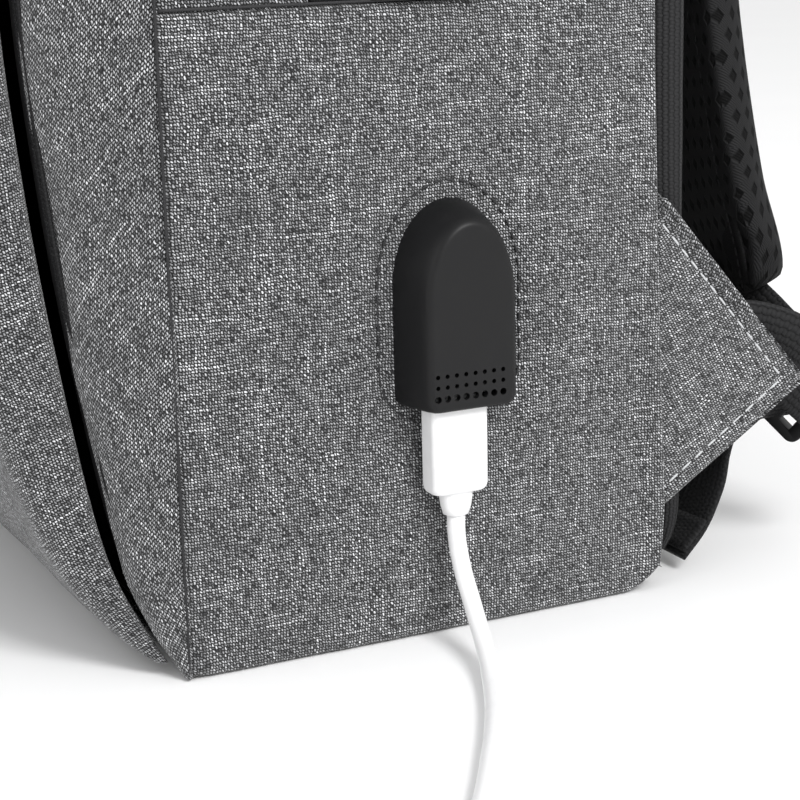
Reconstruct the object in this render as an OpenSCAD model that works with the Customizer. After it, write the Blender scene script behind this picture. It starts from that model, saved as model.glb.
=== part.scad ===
// Backpack with a front solar panel and a USB port on its right side.
// The frame: +X is the wearer's right side seen from the front, -Y is the front, +Z is up.
// The origin is the middle of the base, on the surface that the bag stands on.

/* [Bag] */
// Width of the bag between its side panels
body_w = 300; // [280:5:340]
// Height of the bag from base to top panel
body_h = 450; // [430:5:500]
// Depth of the side panels
side_d = 128; // [110:2:150]
// Thickness of the padded walls
wall = 4; // [3:0.5:6]
// Radius of the two top corners
top_r = 70; // [60:5:80]
// Gap between the front rim and the front flap
rim_gap = 5; // [4:0.5:8]

/* [Side pockets] */
// Height of the side pocket zips above the base
side_zip_z = 158; // [150:1:170]
// Length of the side pocket zips
side_zip_len = 78; // [60:2:90]

/* [USB port] */
// Place of the port along the side panel, from its middle
port_y = 5.5; // [-10:0.5:15]
// Height of the port's lower edge above the base
port_z = 59.5; // [50:0.5:70]
// Width of the port housing where it meets the fabric
port_w = 29.5; // [26:0.5:34]
// Height of the port housing
port_h = 49; // [46:1:60]
// How far the housing stands proud of the fabric
port_proud = 13; // [11:0.5:15]

/* [USB lead] */
// Diameter of the lead
cord_d = 4.5; // [4:0.25:5]
// Width of the plug's moulding
plug_w = 15; // [14:0.5:16]
// Thickness of the plug's moulding
plug_t = 7.5; // [7:0.25:8]

/* [Solar panel] */
// Width of the solar sheet
solar_w = 174; // [150:2:180]
// Height of the solar sheet
solar_h = 168; // [140:2:170]
// Height of the solar sheet's middle above the base
solar_mid_z = 307; // [305:1:310]

/* [Straps] */
// Width of the shoulder straps
strap_w = 65; // [55:1:70]
// Thickness of the shoulder straps
strap_t = 12; // [8:1:14]
// Width of the lower webbing
web_w = 25; // [20:1:25]

/* [Hidden] */

hw = body_w / 2;
hd = side_d / 2;
corner_z = body_h - top_r;
grey = [0.45, 0.46, 0.48];
black = [0.09, 0.09, 0.10];

// How far the front rim leans forward and inward at each height
rim_table = [[0, 0], [12, 6.2], [27, 11.7], [63, 17.3], [113, 22.6], [155, 25.2], [200, 26], [900, 26]];
rim_top = 26;
function rim(z) = lookup(z, rim_table);

// Thickness of the front flap at each height
flap_table = [
    [0, 4], [2, 5], [27, 14], [63, 20], [113, 23], [155, 24], [380, 24], [408, 17], [420, 9], [900, 9]
];
function flap_t(z) = lookup(z, flap_table);
flap_face_y = -hd - rim_top - 24;

// ---- swept solids ----

// Unit vector
function unit(v) = v / norm(v);

// A list turned end for end
function flip(p) = [for (i = [len(p) - 1 : -1 : 0]) p[i]];

// A point on the other side of the bag's middle plane
function mirrored(q) = [-q[0], q[1], q[2]];

// Direction of a path at one of its points
function along(p, i) = unit(p[min(i + 1, len(p) - 1)] - p[max(i - 1, 0)]);

// A closed solid through rings of points, all with the same count
module loft(rings) {
    n = len(rings[0]);
    m = len(rings);
    polyhedron(
        points = [for (r = rings) each r],
        faces = concat(
            [[for (k = [0 : n - 1]) k]],
            [for (i = [0 : m - 2], k = [0 : n - 1])
                [i * n + k, (i + 1) * n + k, (i + 1) * n + (k + 1) % n, i * n + (k + 1) % n]],
            [[for (k = [n - 1 : -1 : 0]) (m - 1) * n + k]]
        ),
        convexity = 8
    );
}

// A flat band along a path: wide is the direction of its width, one for all or one for each point
module band(path, wide, w, t) {
    loft([
        for (i = [0 : len(path) - 1])
            let (
                s = unit(is_list(wide[0]) ? wide[i] : wide),
                n = unit(cross(along(path, i), s)),
                hwid = (is_list(w) ? w[i] : w) / 2,
                r = t / 2
            )
            [for (c = [[-1, -0.5], [-0.92, -1], [0.92, -1], [1, -0.5], [1, 0.5], [0.92, 1], [-0.92, 1], [-1, 0.5]])
                path[i] + s * hwid * c[0] - n * r * c[1]]
    ]);
}

// A round tube along a path
module tube(path, d, sides) {
    loft([
        for (i = [0 : len(path) - 1])
            let (
                a = along(path, i),
                n = unit(cross(a, abs(a[2]) > 0.8 ? [1, 0, 0] : [0, 0, 1])),
                s = cross(n, a)
            )
            [for (k = [0 : sides - 1])
                path[i] + (s * cos(360 * k / sides) - n * sin(360 * k / sides)) * d / 2]
    ]);
}

// ---- outlines ----

// Front view outline of the bag, drawn in by an inset, from a base height up
module arch(inset = 0, base = 0) {
    r = top_r - inset;
    if (base < corner_z) translate([-hw + inset, base]) square([2 * (hw - inset), corner_z - base]);
    for (s = [-1, 1]) translate([s * (hw - top_r), corner_z]) circle(r, $fn = 64);
    translate([-(hw - top_r), corner_z]) square([2 * (hw - top_r), r]);
}

// Stands a front view outline up, from y0 back to y1
module slab(y0, y1) {
    translate([0, y1, 0]) rotate([90, 0, 0]) linear_extrude(y1 - y0) children();
}

// Rectangle with round corners, centred
module round_rect(w, h, r) {
    square([w - 2 * r, h], center = true);
    square([w, h - 2 * r], center = true);
    for (x = [-1, 1], y = [-1, 1]) translate([x * (w / 2 - r), y * (h / 2 - r)]) circle(r, $fn = 32);
}

// Copies a right-hand part to the left
module left() {
    mirror([1, 0, 0]) children();
}

// ---- bag ----

side_zip_y = 12;
zip_slot = 6;

module side_plate(cutout) {
    difference() {
        translate([hw - wall, -hd, 0]) cube([wall, side_d, corner_z]);
        translate([hw - wall - 1, side_zip_y - side_zip_len / 2, side_zip_z - zip_slot / 2])
            cube([wall + 2, side_zip_len, zip_slot]);
        if (cutout)
            translate([hw - wall - 1, port_y, port_z + port_h * 0.42])
                rotate([90, 0, 90]) linear_extrude(wall + 2) round_rect(port_w - 9, port_h * 0.62, 4);
    }
}

module side_panel_right() color(grey) side_plate(true);

module side_panel_left() color(grey) left() side_plate(false);

module bottom_panel() color(grey)
    translate([-hw + wall, -hd, 0]) cube([body_w - 2 * wall, side_d, wall]);

module top_panel() color(grey) slab(-hd, hd) difference() {
    arch();
    arch(wall, -1);
    translate([-body_w, -1]) square([2 * body_w, corner_z + 1]);
}

gusset_t = 1.5;

// One ring of the slanting rim strip: from the front seam to the zip, and its thickness towards the middle
function gusset_ring(seam, inward, reach) =
    let (o = [seam[0], -hd, seam[1]], i = o + [inward[0] * reach, -reach, inward[1] * reach],
        d = [inward[0], 0, inward[1]] * gusset_t * sqrt(2))
    [o, i, i + d, o + d];

// Rings up the right side and round its top corner
function gusset_half() = concat(
    [for (z = [1, 12, 27, 45, 63, 88, 113, 155, 200, 290]) gusset_ring([hw, z], [-1, 0], rim(z))],
    [for (a = [0 : 11.25 : 90])
        gusset_ring([hw - top_r + cos(a) * top_r, corner_z + sin(a) * top_r], [-cos(a), -sin(a)], rim_top)]
);

module front_gusset() color(grey)
    loft(concat(gusset_half(), [for (r = flip(gusset_half())) [for (q = r) mirrored(q)]]));

// ---- back ----

binding_w = 7;
back_y = hd + 8;
back_face_y = hd + 10;

module back_panel() color(black) slab(hd, back_y) arch(binding_w);

module back_binding() color(black) slab(hd, back_face_y) difference() {
    arch(1.5, 0.5);
    arch(binding_w, -1);
}

pad_t = 9;

module back_pad(x, z, w, h) {
    translate([x, back_y + pad_t, z]) rotate([90, 0, 0]) linear_extrude(pad_t) round_rect(w, h, 14);
}

module back_pad_right() color(black) back_pad(66, 272, 96, 236);

module back_pad_left() color(black) left() back_pad(66, 272, 96, 236);

module lumbar_pad() color(black) back_pad(0, 92, 228, 96);

yoke_t = 4;

module strap_yoke() color(grey)
    translate([0, back_y + yoke_t, 416]) rotate([90, 0, 0]) linear_extrude(yoke_t) round_rect(196, 34, 5);

handle_path = [
    [-48, 66, 451.5], [-47, 66, 460], [-42, 66, 470], [-32, 66, 477], [-16, 66, 480], [0, 66, 481],
    [16, 66, 480], [32, 66, 477], [42, 66, 470], [47, 66, 460], [48, 66, 451.5]
];

module carry_handle() color(black) band(handle_path, [0, 1, 0], 24, 4);

// ---- pockets inside the bag ----

sleeve_y = 46;
sleeve_half = 123.5;
sheet = 2;

module laptop_sleeve() color(black) difference() {
    translate([-sleeve_half, sleeve_y, 10]) cube([2 * sleeve_half, hd - sleeve_y, 290]);
    translate([-sleeve_half + sheet, sleeve_y + sheet, 10 + sheet]) cube([2 * (sleeve_half - sheet), hd, 290]);
}

pouch_d = 22;

module pouch() difference() {
    translate([hw - wall - pouch_d, -32, 34]) cube([pouch_d, 88, 136]);
    translate([hw - wall - pouch_d + sheet, -32 + sheet, 34 + sheet])
        cube([pouch_d, 88 - 2 * sheet, 136 - 2 * sheet]);
}

module side_pouch_right() color(black) pouch();

module side_pouch_left() color(black) left() pouch();

// ---- side pocket zips ----

zip_x = hw - 2.6;

module side_zip() {
    translate([zip_x - 1.2, side_zip_y - side_zip_len / 2 + 0.3, side_zip_z - zip_slot / 2 + 0.3])
        cube([1.2, side_zip_len - 0.6, zip_slot - 0.6]);
    translate([zip_x, side_zip_y - side_zip_len / 2 + 0.5, side_zip_z - 1.5])
        cube([1.2, side_zip_len - 1, 3]);
}

slider_len = 9;
side_slider_y = side_zip_y - side_zip_len / 2 + 19;

// Slider with its crown, standing on the teeth: the zip runs along X, the crown points to -Y
module slider(w) {
    difference() {
        union() {
            translate([-slider_len / 2, -2.2, -w / 2]) cube([slider_len, 2.2, w]);
            translate([-2.6, -4.4, -1]) cube([5.2, 2.3, 2]);
        }
        translate([0, -3.2, -2]) cylinder(r = 0.75, h = 4, $fn = 24);
    }
}

// Puller with its ring round the crown and a moulded cord end, lying along the zip
module puller(length) {
    translate([0, -3.2, 0]) difference() {
        union() {
            translate([0, -0.6, -2.6]) cube([length * 0.35, 1.2, 5.2]);
            cylinder(r = 0.6, h = 5.2, center = true, $fn = 24);
            translate([length * 0.35 - 1, -1.3, -2.2]) cube([length * 0.65, 2.6, 4.4]);
        }
        difference() {
            translate([-2, -2, -1.4]) cube([5.2, 4, 2.8]);
            cylinder(r = 0.6, h = 6, center = true, $fn = 24);
        }
    }
}

module side_slider_place() {
    translate([zip_x + 1.4, side_slider_y, side_zip_z]) rotate([0, 0, 90]) children();
}

module side_slider_right() color(black) side_slider_place() slider(5.2);

module side_slider_left() color(black) left() side_slider_place() slider(5.2);

module side_puller_right() color(black) side_slider_place() puller(26);

module side_puller_left() color(black) left() side_slider_place() puller(26);

module side_zip_right() color(black) side_zip();

module side_zip_left() color(black) left() side_zip();

// ---- USB port ----

port_wall = 1.6;
plug_x = hw + 6.6;
plug_y = 3.2;
mouth_clear = 0.5;

// Bullet outline in the side view: flat foot, straight sides and an elliptic top
module bullet(w, h) {
    straight = h * 0.58;
    polygon(concat(
        [[w / 2, 0]],
        [for (a = [0 : 10 : 180]) [cos(a) * w / 2, straight + sin(a) * (h - straight)]],
        [[-w / 2, 0]]
    ));
}

// Solid between a wide outline at the fabric and a narrower one at the face
module bullet_body(inset, x0, x1) {
    hull() {
        translate([x0, port_y, port_z + inset]) rotate([90, 0, 90])
            linear_extrude(0.5) bullet(port_w - 2 * inset, port_h - 2 * inset);
        translate([x1 - 0.5, port_y, port_z + inset]) rotate([90, 0, 90])
            linear_extrude(0.5) bullet(port_w - 8 - 2 * inset, port_h - 5 - 2 * inset);
        translate([x1 - 3.5, port_y, port_z + inset]) rotate([90, 0, 90])
            linear_extrude(0.5) bullet(port_w - 4.5 - 2 * inset, port_h - 2.5 - 2 * inset);
    }
}

// Three rows of vent holes, the lowest row with larger holes
hole_pitch = 2.47;
hole_rows = [[3.6, 0.85], [6.4, 0.55], [9.0, 0.55]];

module port_housing() color(black) difference() {
    bullet_body(0, hw, hw + port_proud);
    bullet_body(port_wall, hw - 1, hw + port_proud - port_wall);
    translate([plug_x - plug_t / 2 - mouth_clear, plug_y - plug_w / 2 - mouth_clear, port_z - 1])
        cube([plug_t + 2 * mouth_clear, plug_w + 2 * mouth_clear, port_wall + 2]);
    for (row = hole_rows, i = [-3.5 : 1 : 3.5])
        translate([hw + port_proud - 3, port_y - 1 + i * hole_pitch, port_z + row[0]])
            rotate([0, 90, 0]) cylinder(r = row[1], h = 6, $fn = 16);
}

module port_backplate() color(black)
    translate([hw - wall - 2, port_y, port_z + port_h / 2]) rotate([90, 0, 90]) linear_extrude(2)
        difference() {
            round_rect(port_w + 6, port_h + 4, 6);
            translate([0, -port_h * 0.08]) round_rect(port_w - 9, port_h * 0.62, 4);
        }

// A plug's metal tube, hollow, standing on z0
usb_w = 12;
usb_t = 4.5;
usb_wall = 0.35;

module box_tube(w, t, h, thick) {
    difference() {
        translate([-t / 2, -w / 2, 0]) cube([t, w, h]);
        translate([-t / 2 + thick, -w / 2 + thick, -1]) cube([t - 2 * thick, w - 2 * thick, h + 2]);
    }
}

socket_z = port_z + 3;
socket_len = 14;

module usb_socket_shell() color("silver") {
    translate([plug_x, plug_y, socket_z]) box_tube(usb_w + 1.6, usb_t + 1.6, socket_len, 0.5);
    translate([plug_x - 3.05, plug_y - 6.8, socket_z + socket_len - 1]) cube([6.1, 13.6, 1]);
    translate([hw - wall - 2, plug_y - 6, socket_z + 4]) cube([plug_x - 3.05 - hw + wall + 2, 12, 6]);
}

module usb_socket_tongue() color("white")
    translate([plug_x + 0.25, plug_y - 5.4, socket_z + 2]) cube([1.5, 10.8, socket_len - 3]);

// Lead inside the bag, from the port down into the pouch, to its plug
port_lead_path = [
    [143.5, 3, 70], [139, 3, 69], [135, 4, 64], [134, 7, 57], [134, 12, 51], [134, 19, 47],
    [134, 27, 46], [134, 34, 49], [134, 38, 56], [134, 39, 64], [134, 39, 72]
];

module port_lead() color(black) tube(port_lead_path, 3.2, 8);

module port_lead_plug() color(black) {
    translate([134, 39, 72]) cylinder(r = 2.6, h = 5, $fn = 24);
    translate([134, 39, 86]) cube([7, 15, 18.2], center = true);
    translate([134, 39, 95.1]) box_tube(usb_w, usb_t, 12, 0.5);
}

// ---- USB lead ----

plug_z = 38.5;
neck_h = 6;

module usb_plug_overmould() color("white") {
    translate([plug_x, plug_y, plug_z]) linear_extrude(port_z + 1.8 - plug_z) round_rect(plug_t, plug_w, 1.6);
    translate([plug_x, plug_y, plug_z - neck_h]) linear_extrude(neck_h) round_rect(5.4, 8, 2.4);
}

module usb_plug_shell() color("silver") {
    translate([plug_x, plug_y, port_z + 1.8]) box_tube(usb_w, usb_t, 12, usb_wall);
    translate([plug_x - usb_t / 2 + usb_wall, plug_y - usb_w / 2 + usb_wall, port_z + 1.8])
        cube([1.7, usb_w - 2 * usb_wall, 11.5]);
}

// The lead from the plug's neck down to the floor and away to the coil
cord_path = [
    [156.6, 3.2, 32.5], [156.6, 3.2, 28], [157.3, 3.4, 23.5], [159.3, 3.6, 18], [163, 3.5, 13],
    [168, 2.6, 8.8], [174.5, 0.8, 5.6], [182, -2, 3.6], [190, -5.6, 2.6], [199, -9.9, 2.35],
    [208, -14.7, 2.35], [217, -19.9, 2.35], [226, -25.5, 2.35], [235, -31.2, 2.35],
    [244, -37.2, 2.35], [253, -43.6, 2.35], [262, -50.6, 2.35], [271.2, -58, 2.35], [280.2, -65.6, 2.35]
];

// The other end leaves the coil's upper layer and comes down to the floor
cord_end_path = [[280.2, -65.6, 7], [287.9, -72, 6], [295.5, -78.4, 3.8], [303.2, -84.9, 2.9]];

module cord_tube() color("white") {
    tube(cord_path, cord_d, 10);
    tube(cord_end_path, cord_d, 10);
}

// The coil is wound flat, in two layers
coil_at = [300, -42];
coil_in = 18.5;
coil_out = 33;
coil_h = 9.3;

module cord_coil() color("white")
    translate(coil_at) rotate_extrude($fn = 64) translate([coil_in, 0.1]) square([coil_out - coil_in, coil_h]);

// Small connector on the far end: relief, moulding and metal tip
far_turn = -40;

module far_plug() color("white") translate([303.4, -85.1, 2.9]) rotate([0, 0, far_turn]) {
    rotate([0, 90, 0]) cylinder(r = 2.9, h = 7, $fn = 24);
    translate([7, -5.5, -2.9]) cube([20, 11, 6]);
    translate([27, -4.3, -1.2]) cube([6.5, 8.6, 2.6]);
}

// ---- wings and straps ----

wing_x = hw - 3.6;
wing_t = 3;
wing_tip = [111.5, 51];
wing_top = [hd + 1, 105];
wing_low = [hd + 1, 20.5];

module wing() {
    translate([wing_x, 0, 0]) rotate([90, 0, 90]) linear_extrude(wing_t)
        polygon([wing_low, wing_tip + [-1.2, -1.2], wing_tip, wing_tip + [-1.2, 1.2], wing_top]);
}

module wing_right() color(grey) difference() {
    wing();
    slab(hd - 1, back_face_y) arch(1.5, -5);
}

module wing_left() color(grey) left() wing_right();

// Centre line of the right shoulder strap, from the yoke down
strap_path = [
    [52, 83, 430], [53, 85.5, 416], [56, 91, 400], [61, 99, 372], [67, 106, 335], [74, 110, 290],
    [80, 109.5, 245], [84.5, 106.5, 205], [87, 105.5, 175], [88, 107, 148], [90.5, 110, 122],
    [94, 113.5, 100], [98, 117, 84], [100, 119.5, 74], [101.5, 122.5, 66]
];
strap_widths = [48, 54, 60, 65, 65, 65, 65, 65, 65, 64, 63, 60, 55, 51, 42] * strap_w / 65;

// Strap with the webbing tab that holds its ladder lock
tab_path = [[101, 111.8, 77], [105, 113.4, 68.5], [111, 118, 61], [119.6, 124.7, 50.9]];
lock_wide = [0.553, 0.331, 0.764];
tab_wide = [[0.7, 0.1, 0.7], [0.6, 0.25, 0.75], lock_wide, lock_wide];

module strap() {
    band(strap_path, [1, 0, 0], strap_widths, strap_t);
    band(tab_path, tab_wide, web_w, 2);
}

module shoulder_strap_right() color(black) strap();

module shoulder_strap_left() color(black) left() strap();

// Ladder lock, a flat buckle with two slots, turned towards the wing
lock_at = [126.9, 129.1, 43.7];
lock_turn = [0, 40, 31];

module ladder_lock() {
    translate(lock_at) rotate(lock_turn) rotate([90, 0, 0]) difference() {
        translate([0, 0, -2]) linear_extrude(4) round_rect(21, 33, 3);
        for (x = [-5.2, 4.6]) translate([x - 2.1, -13.5, -3]) cube([4.2, 27, 6]);
    }
}

module ladder_lock_right() color(black) ladder_lock();

module ladder_lock_left() color(black) left() ladder_lock();

// Lower webbing from the lock to the wing, lying on the wing's inner face at its end
web_path = [
    [135.3, 134.1, 35.6], [139.8, 133.2, 36], [143.4, 128.5, 40.5], [144.6, 122, 47], [144.3, 115, 52.5],
    [143.6, 107, 57.8], [143, 98, 60.5], [144.2, 90, 61], [144.6, 84, 61]
];

web_wide = [
    lock_wide, [0.35, 0.2, 0.91], [0.15, 0.1, 0.98], [0.22, 0, 0.97], [0.35, 0, 0.93],
    [0.38, 0, 0.92], [0.2, 0, 0.98], [0, 0, 1], [0, 0, 1]
];

module webbing() band(web_path, web_wide, web_w, 2);

module webbing_right() color(black) webbing();

module webbing_left() color(black) left() webbing();

// Loose end of the webbing, from the lock down to the floor, and its width turning level
tail_path = [
    [128.9, 125.8, 42], [127.5, 118, 40.5], [125.5, 109, 38], [126, 101, 33.5], [127.5, 96, 27],
    [129, 92, 19], [129.5, 86.5, 10], [129.5, 79.5, 3.6]
];
tail_wide = [
    [0.62, 0.2, 0.75], [0.7, 0.1, 0.7], [0.8, 0, 0.6], [0.85, 0, 0.5], [0.92, 0, 0.35], [0.97, 0, 0.2],
    [1, 0, 0.1], [1, 0, 0]
];

module webbing_tail() band(tail_path, tail_wide, web_w, 2);

module webbing_tail_right() color(black) webbing_tail();

module webbing_tail_left() color(black) left() webbing_tail();

// ---- front flap ----

// Half width of the flap at a height: beside the rim, then round the top corners
flap_corner = top_r - rim_top - rim_gap;
function flap_half(z) = z <= corner_z
    ? hw - rim(z) - rim_gap
    : hw - top_r + sqrt(max(pow(flap_corner, 2) - pow(z - corner_z, 2), 0));

flap_levels = [
    2, 12, 27, 45, 63, 88, 113, 155, 200, 290, 380, 390, 399, 406, 411, 415, 417.5, 418.8
];

// One level ring of a padded shape with round front corners: back at y, thickness t
function pad_ring(h, y, t, z, r) = concat(
    [[-h, y, z], [-h, y - t + r, z]],
    [for (a = [22.5 : 22.5 : 90]) [-h + r - cos(a) * r, y - t + r - sin(a) * r, z]],
    [for (a = [90 : -22.5 : 22.5]) [h - r + cos(a) * r, y - t + r - sin(a) * r, z]],
    [[h, y - t + r, z], [h, y, z]]
);

module flap_panel() color(grey)
    loft([for (z = flap_levels)
        pad_ring(flap_half(z), -hd - rim(z) - 1.2, flap_t(z) - 1.2, z, min(10, flap_t(z) - 2.2))]);

// Zipped pocket on the lower half of the flap: height and how far it stands proud
pocket_rings = [
    [34, 1.2], [40, 5], [52, 9], [63, 10.6], [80, 12.5], [113, 14], [155, 13.8], [165, 13.4], [186, 11], [196, 7.5],
    [200, 4.5], [203, 1.2]
];
pocket_half = 96;

function pocket_y(z) = -hd - rim(z) - flap_t(z) - 0.02;

module flap_pocket() color(grey)
    loft([for (p = pocket_rings)
        pad_ring(pocket_half - (14 - p[1]) * 0.35, pocket_y(p[0]), p[1], p[0], min(6, p[1] * 0.8))]);

// ---- main zip ----

// The zip's line at a distance in from the rim's edge, up one side, over the top and down the other
function zip_side(d) = [
    for (z = [8, 12, 27, 45, 63, 88, 113, 155, 200, 290]) [hw - rim(z) - d, -hd - rim(z) + 3, z]
];
function zip_corner(d) = [
    for (a = [0 : 11.25 : 90])
        [hw - top_r + cos(a) * (top_r - rim_top - d), -hd - rim_top + 3,
            corner_z + sin(a) * (top_r - rim_top - d)]
];
function half_line(d) = concat(zip_side(d), zip_corner(d));
function zip_line(d) = concat(half_line(d), [for (q = flip(half_line(d))) mirrored(q)]);

module zip_tape_body() color(black) band(zip_line(1.2), [0, 1, 0], 1.4, 2.2);

module zip_tape_flap() color(black) band(zip_line(5.4), [0, 1, 0], 1.4, 3.6);

main_slider_x = 14;
main_slider_y = -hd - rim_top;
main_slider_z = body_h - rim_top - rim_gap / 2 + 0.1;

module main_slider_place() {
    translate([main_slider_x, main_slider_y, main_slider_z]) children();
}

module main_slider_right() color(black) main_slider_place() slider(4.4);

module main_slider_left() color(black) left() main_slider_right();

module main_puller() {
    main_slider_place() puller(30);
}

module main_puller_right() color(black) main_puller();

module main_puller_left() color(black) left() main_puller();

// ---- pocket zip on the flap ----

pocket_zip_z = 207.5;
pocket_zip_len = 176;

module pocket_zip() color(black) {
    translate([-pocket_zip_len / 2, flap_face_y - 1.2, pocket_zip_z - 3]) cube([pocket_zip_len, 1.2, 6]);
    translate([-pocket_zip_len / 2 + 1, flap_face_y - 2.4, pocket_zip_z - 1.5])
        cube([pocket_zip_len - 2, 1.2, 3]);
}

pocket_slider_x = -70;

module pocket_slider_place() {
    translate([pocket_slider_x, flap_face_y - 2.7, pocket_zip_z]) children();
}

module pocket_slider() color(black) pocket_slider_place() slider(5.2);

module pocket_puller() color(black) pocket_slider_place() puller(28);

// ---- solar panel ----

border_w = 11;
backing_t = 1.6;
cell_t = 0.5;
cover_t = 0.8;
cell_cols = 4;
cell_rows = 3;
cell_gap = 2;

module plate(w, h, y0, y1, r) {
    translate([0, y1, solar_mid_z]) rotate([90, 0, 0]) linear_extrude(y1 - y0) round_rect(w, h, r);
}

module solar_backing() color([0.05, 0.06, 0.09])
    plate(solar_w, solar_h, flap_face_y - backing_t, flap_face_y, 4);

module solar_cells() color([0.04, 0.06, 0.16]) {
    cw = (solar_w - 8 - (cell_cols - 1) * cell_gap) / cell_cols;
    ch = (solar_h - 8 - (cell_rows - 1) * cell_gap) / cell_rows;
    for (c = [0 : cell_cols - 1], r = [0 : cell_rows - 1])
        translate([
            (c - (cell_cols - 1) / 2) * (cw + cell_gap) - cw / 2,
            flap_face_y - backing_t - cell_t,
            solar_mid_z + (r - (cell_rows - 1) / 2) * (ch + cell_gap) - ch / 2
        ]) cube([cw, cell_t, ch]);
}

module solar_cover() color([0.5, 0.55, 0.65])
    plate(solar_w, solar_h, flap_face_y - backing_t - cell_t - cover_t, flap_face_y - backing_t - cell_t, 4);

module solar_border() color(black) difference() {
    plate(solar_w + 2 * border_w, solar_h + 2 * border_w, flap_face_y - 2.4, flap_face_y, 9);
    plate(solar_w + 0.4, solar_h + 0.4, flap_face_y - 4, flap_face_y + 1, 4);
}

snap_r = 4;

module panel_snaps() color("dimgray")
    for (x = [-1, 1], z = [-1, 1])
        translate([x * (solar_w / 2 + border_w / 2), flap_face_y - 2.4,
            solar_mid_z + z * (solar_h / 2 + border_w / 2)])
            rotate([90, 0, 0]) cylinder(r1 = snap_r, r2 = snap_r - 1, h = 1.4, $fn = 32);

controller_z = 340;
flap_back_y = -hd - rim_top - 1.2;

module solar_controller() color(black)
    translate([0, flap_back_y + 12, controller_z]) rotate([90, 0, 0]) linear_extrude(12) difference() {
        round_rect(64, 44, 4);
        translate([0, -22]) square([13.8, 25], center = true);
    }

module controller_socket() color("silver")
    translate([0, flap_back_y + 6, controller_z - 22]) rotate([0, 0, 90])
        box_tube(usb_w + 1.6, usb_t + 1.6, 12.4, 0.5);

side_panel_right();
side_panel_left();
bottom_panel();
top_panel();
front_gusset();
back_panel();
back_binding();
back_pad_right();
back_pad_left();
lumbar_pad();
strap_yoke();
zip_tape_body();
laptop_sleeve();
side_pouch_right();
side_pouch_left();
side_zip_right();
side_zip_left();
side_slider_right();
side_slider_left();
side_puller_right();
side_puller_left();
port_housing();
port_backplate();
usb_socket_shell();
usb_socket_tongue();
port_lead();
port_lead_plug();
usb_plug_overmould();
usb_plug_shell();
cord_tube();
cord_coil();
far_plug();
wing_right();
wing_left();
webbing_right();
webbing_left();
shoulder_strap_right();
shoulder_strap_left();
ladder_lock_right();
ladder_lock_left();
webbing_tail_right();
webbing_tail_left();
carry_handle();
flap_panel();
flap_pocket();
zip_tape_flap();
pocket_zip();
pocket_slider();
pocket_puller();
main_slider_right();
main_slider_left();
main_puller_right();
main_puller_left();
solar_backing();
solar_cells();
solar_cover();
solar_border();
panel_snaps();
solar_controller();
controller_socket();
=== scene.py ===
"""Looks for the solar backpack: cloth, straps, zips, USB port and lead, and the solar sheet.

Sizes are in millimetres, in the frame of the CAD model, and become metres when a mesh is made.
The right side is +X, the front is -Y and up is +Z. Left-hand pieces are mirror images.
"""
import math

import bmesh
import bpy
import numpy as np
from mathutils import Matrix, Vector, noise


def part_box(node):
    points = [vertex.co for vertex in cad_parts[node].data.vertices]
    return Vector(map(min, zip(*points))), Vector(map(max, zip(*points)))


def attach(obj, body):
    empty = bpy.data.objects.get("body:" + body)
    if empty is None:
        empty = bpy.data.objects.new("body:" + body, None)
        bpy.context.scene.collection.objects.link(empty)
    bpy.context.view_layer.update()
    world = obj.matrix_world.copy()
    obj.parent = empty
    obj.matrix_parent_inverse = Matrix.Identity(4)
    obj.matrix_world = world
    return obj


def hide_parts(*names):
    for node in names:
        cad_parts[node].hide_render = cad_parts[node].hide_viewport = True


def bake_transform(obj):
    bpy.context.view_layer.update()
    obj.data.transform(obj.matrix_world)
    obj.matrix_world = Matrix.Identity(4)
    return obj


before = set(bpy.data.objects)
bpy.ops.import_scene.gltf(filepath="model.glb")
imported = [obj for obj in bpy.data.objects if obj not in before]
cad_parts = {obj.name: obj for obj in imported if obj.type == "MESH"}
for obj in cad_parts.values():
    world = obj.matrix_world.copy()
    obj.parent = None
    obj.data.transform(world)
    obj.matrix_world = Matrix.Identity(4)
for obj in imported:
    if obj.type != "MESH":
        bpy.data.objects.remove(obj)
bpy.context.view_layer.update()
MM = 0.001


def node_box(node):
    """Lowest and highest corner of a CAD node, in millimetres."""
    low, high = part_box(node)
    return Vector(low) / MM, Vector(high) / MM


# ---- sizes, from the frame ----

side_low, side_high = node_box("side_panel_right")
HALF_W = side_high.x
FRONT = side_low.y
BACK = side_high.y
CORNER_Z = side_high.z
WALL = side_high.x - side_low.x
TOP_Z = node_box("top_panel")[1].z
TOP_R = TOP_Z - CORNER_Z
ZIP_LOW, ZIP_HIGH = node_box("side_zip_right")
SEAM_Z = ZIP_LOW.z - 0.8
FLAP_FACE = node_box("solar_backing")[1].y
PORT_LOW, PORT_HIGH = node_box("port_housing")
PLUG_LOW, PLUG_HIGH = node_box("usb_plug_overmould")
COIL_LOW, COIL_HIGH = node_box("cord_coil")
CORD_D = 4.5
RIM = [[0, 0], [12, 6.2], [27, 11.7], [63, 17.3], [113, 22.6], [155, 25.2], [200, 26], [900, 26]]
RIM_REACH = RIM[-1][1]
RIM_GAP = 5
FLAP_T = [[0, 4], [2, 5], [27, 14], [63, 20], [113, 23], [155, 24], [380, 24], [408, 17], [420, 9]]


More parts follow.
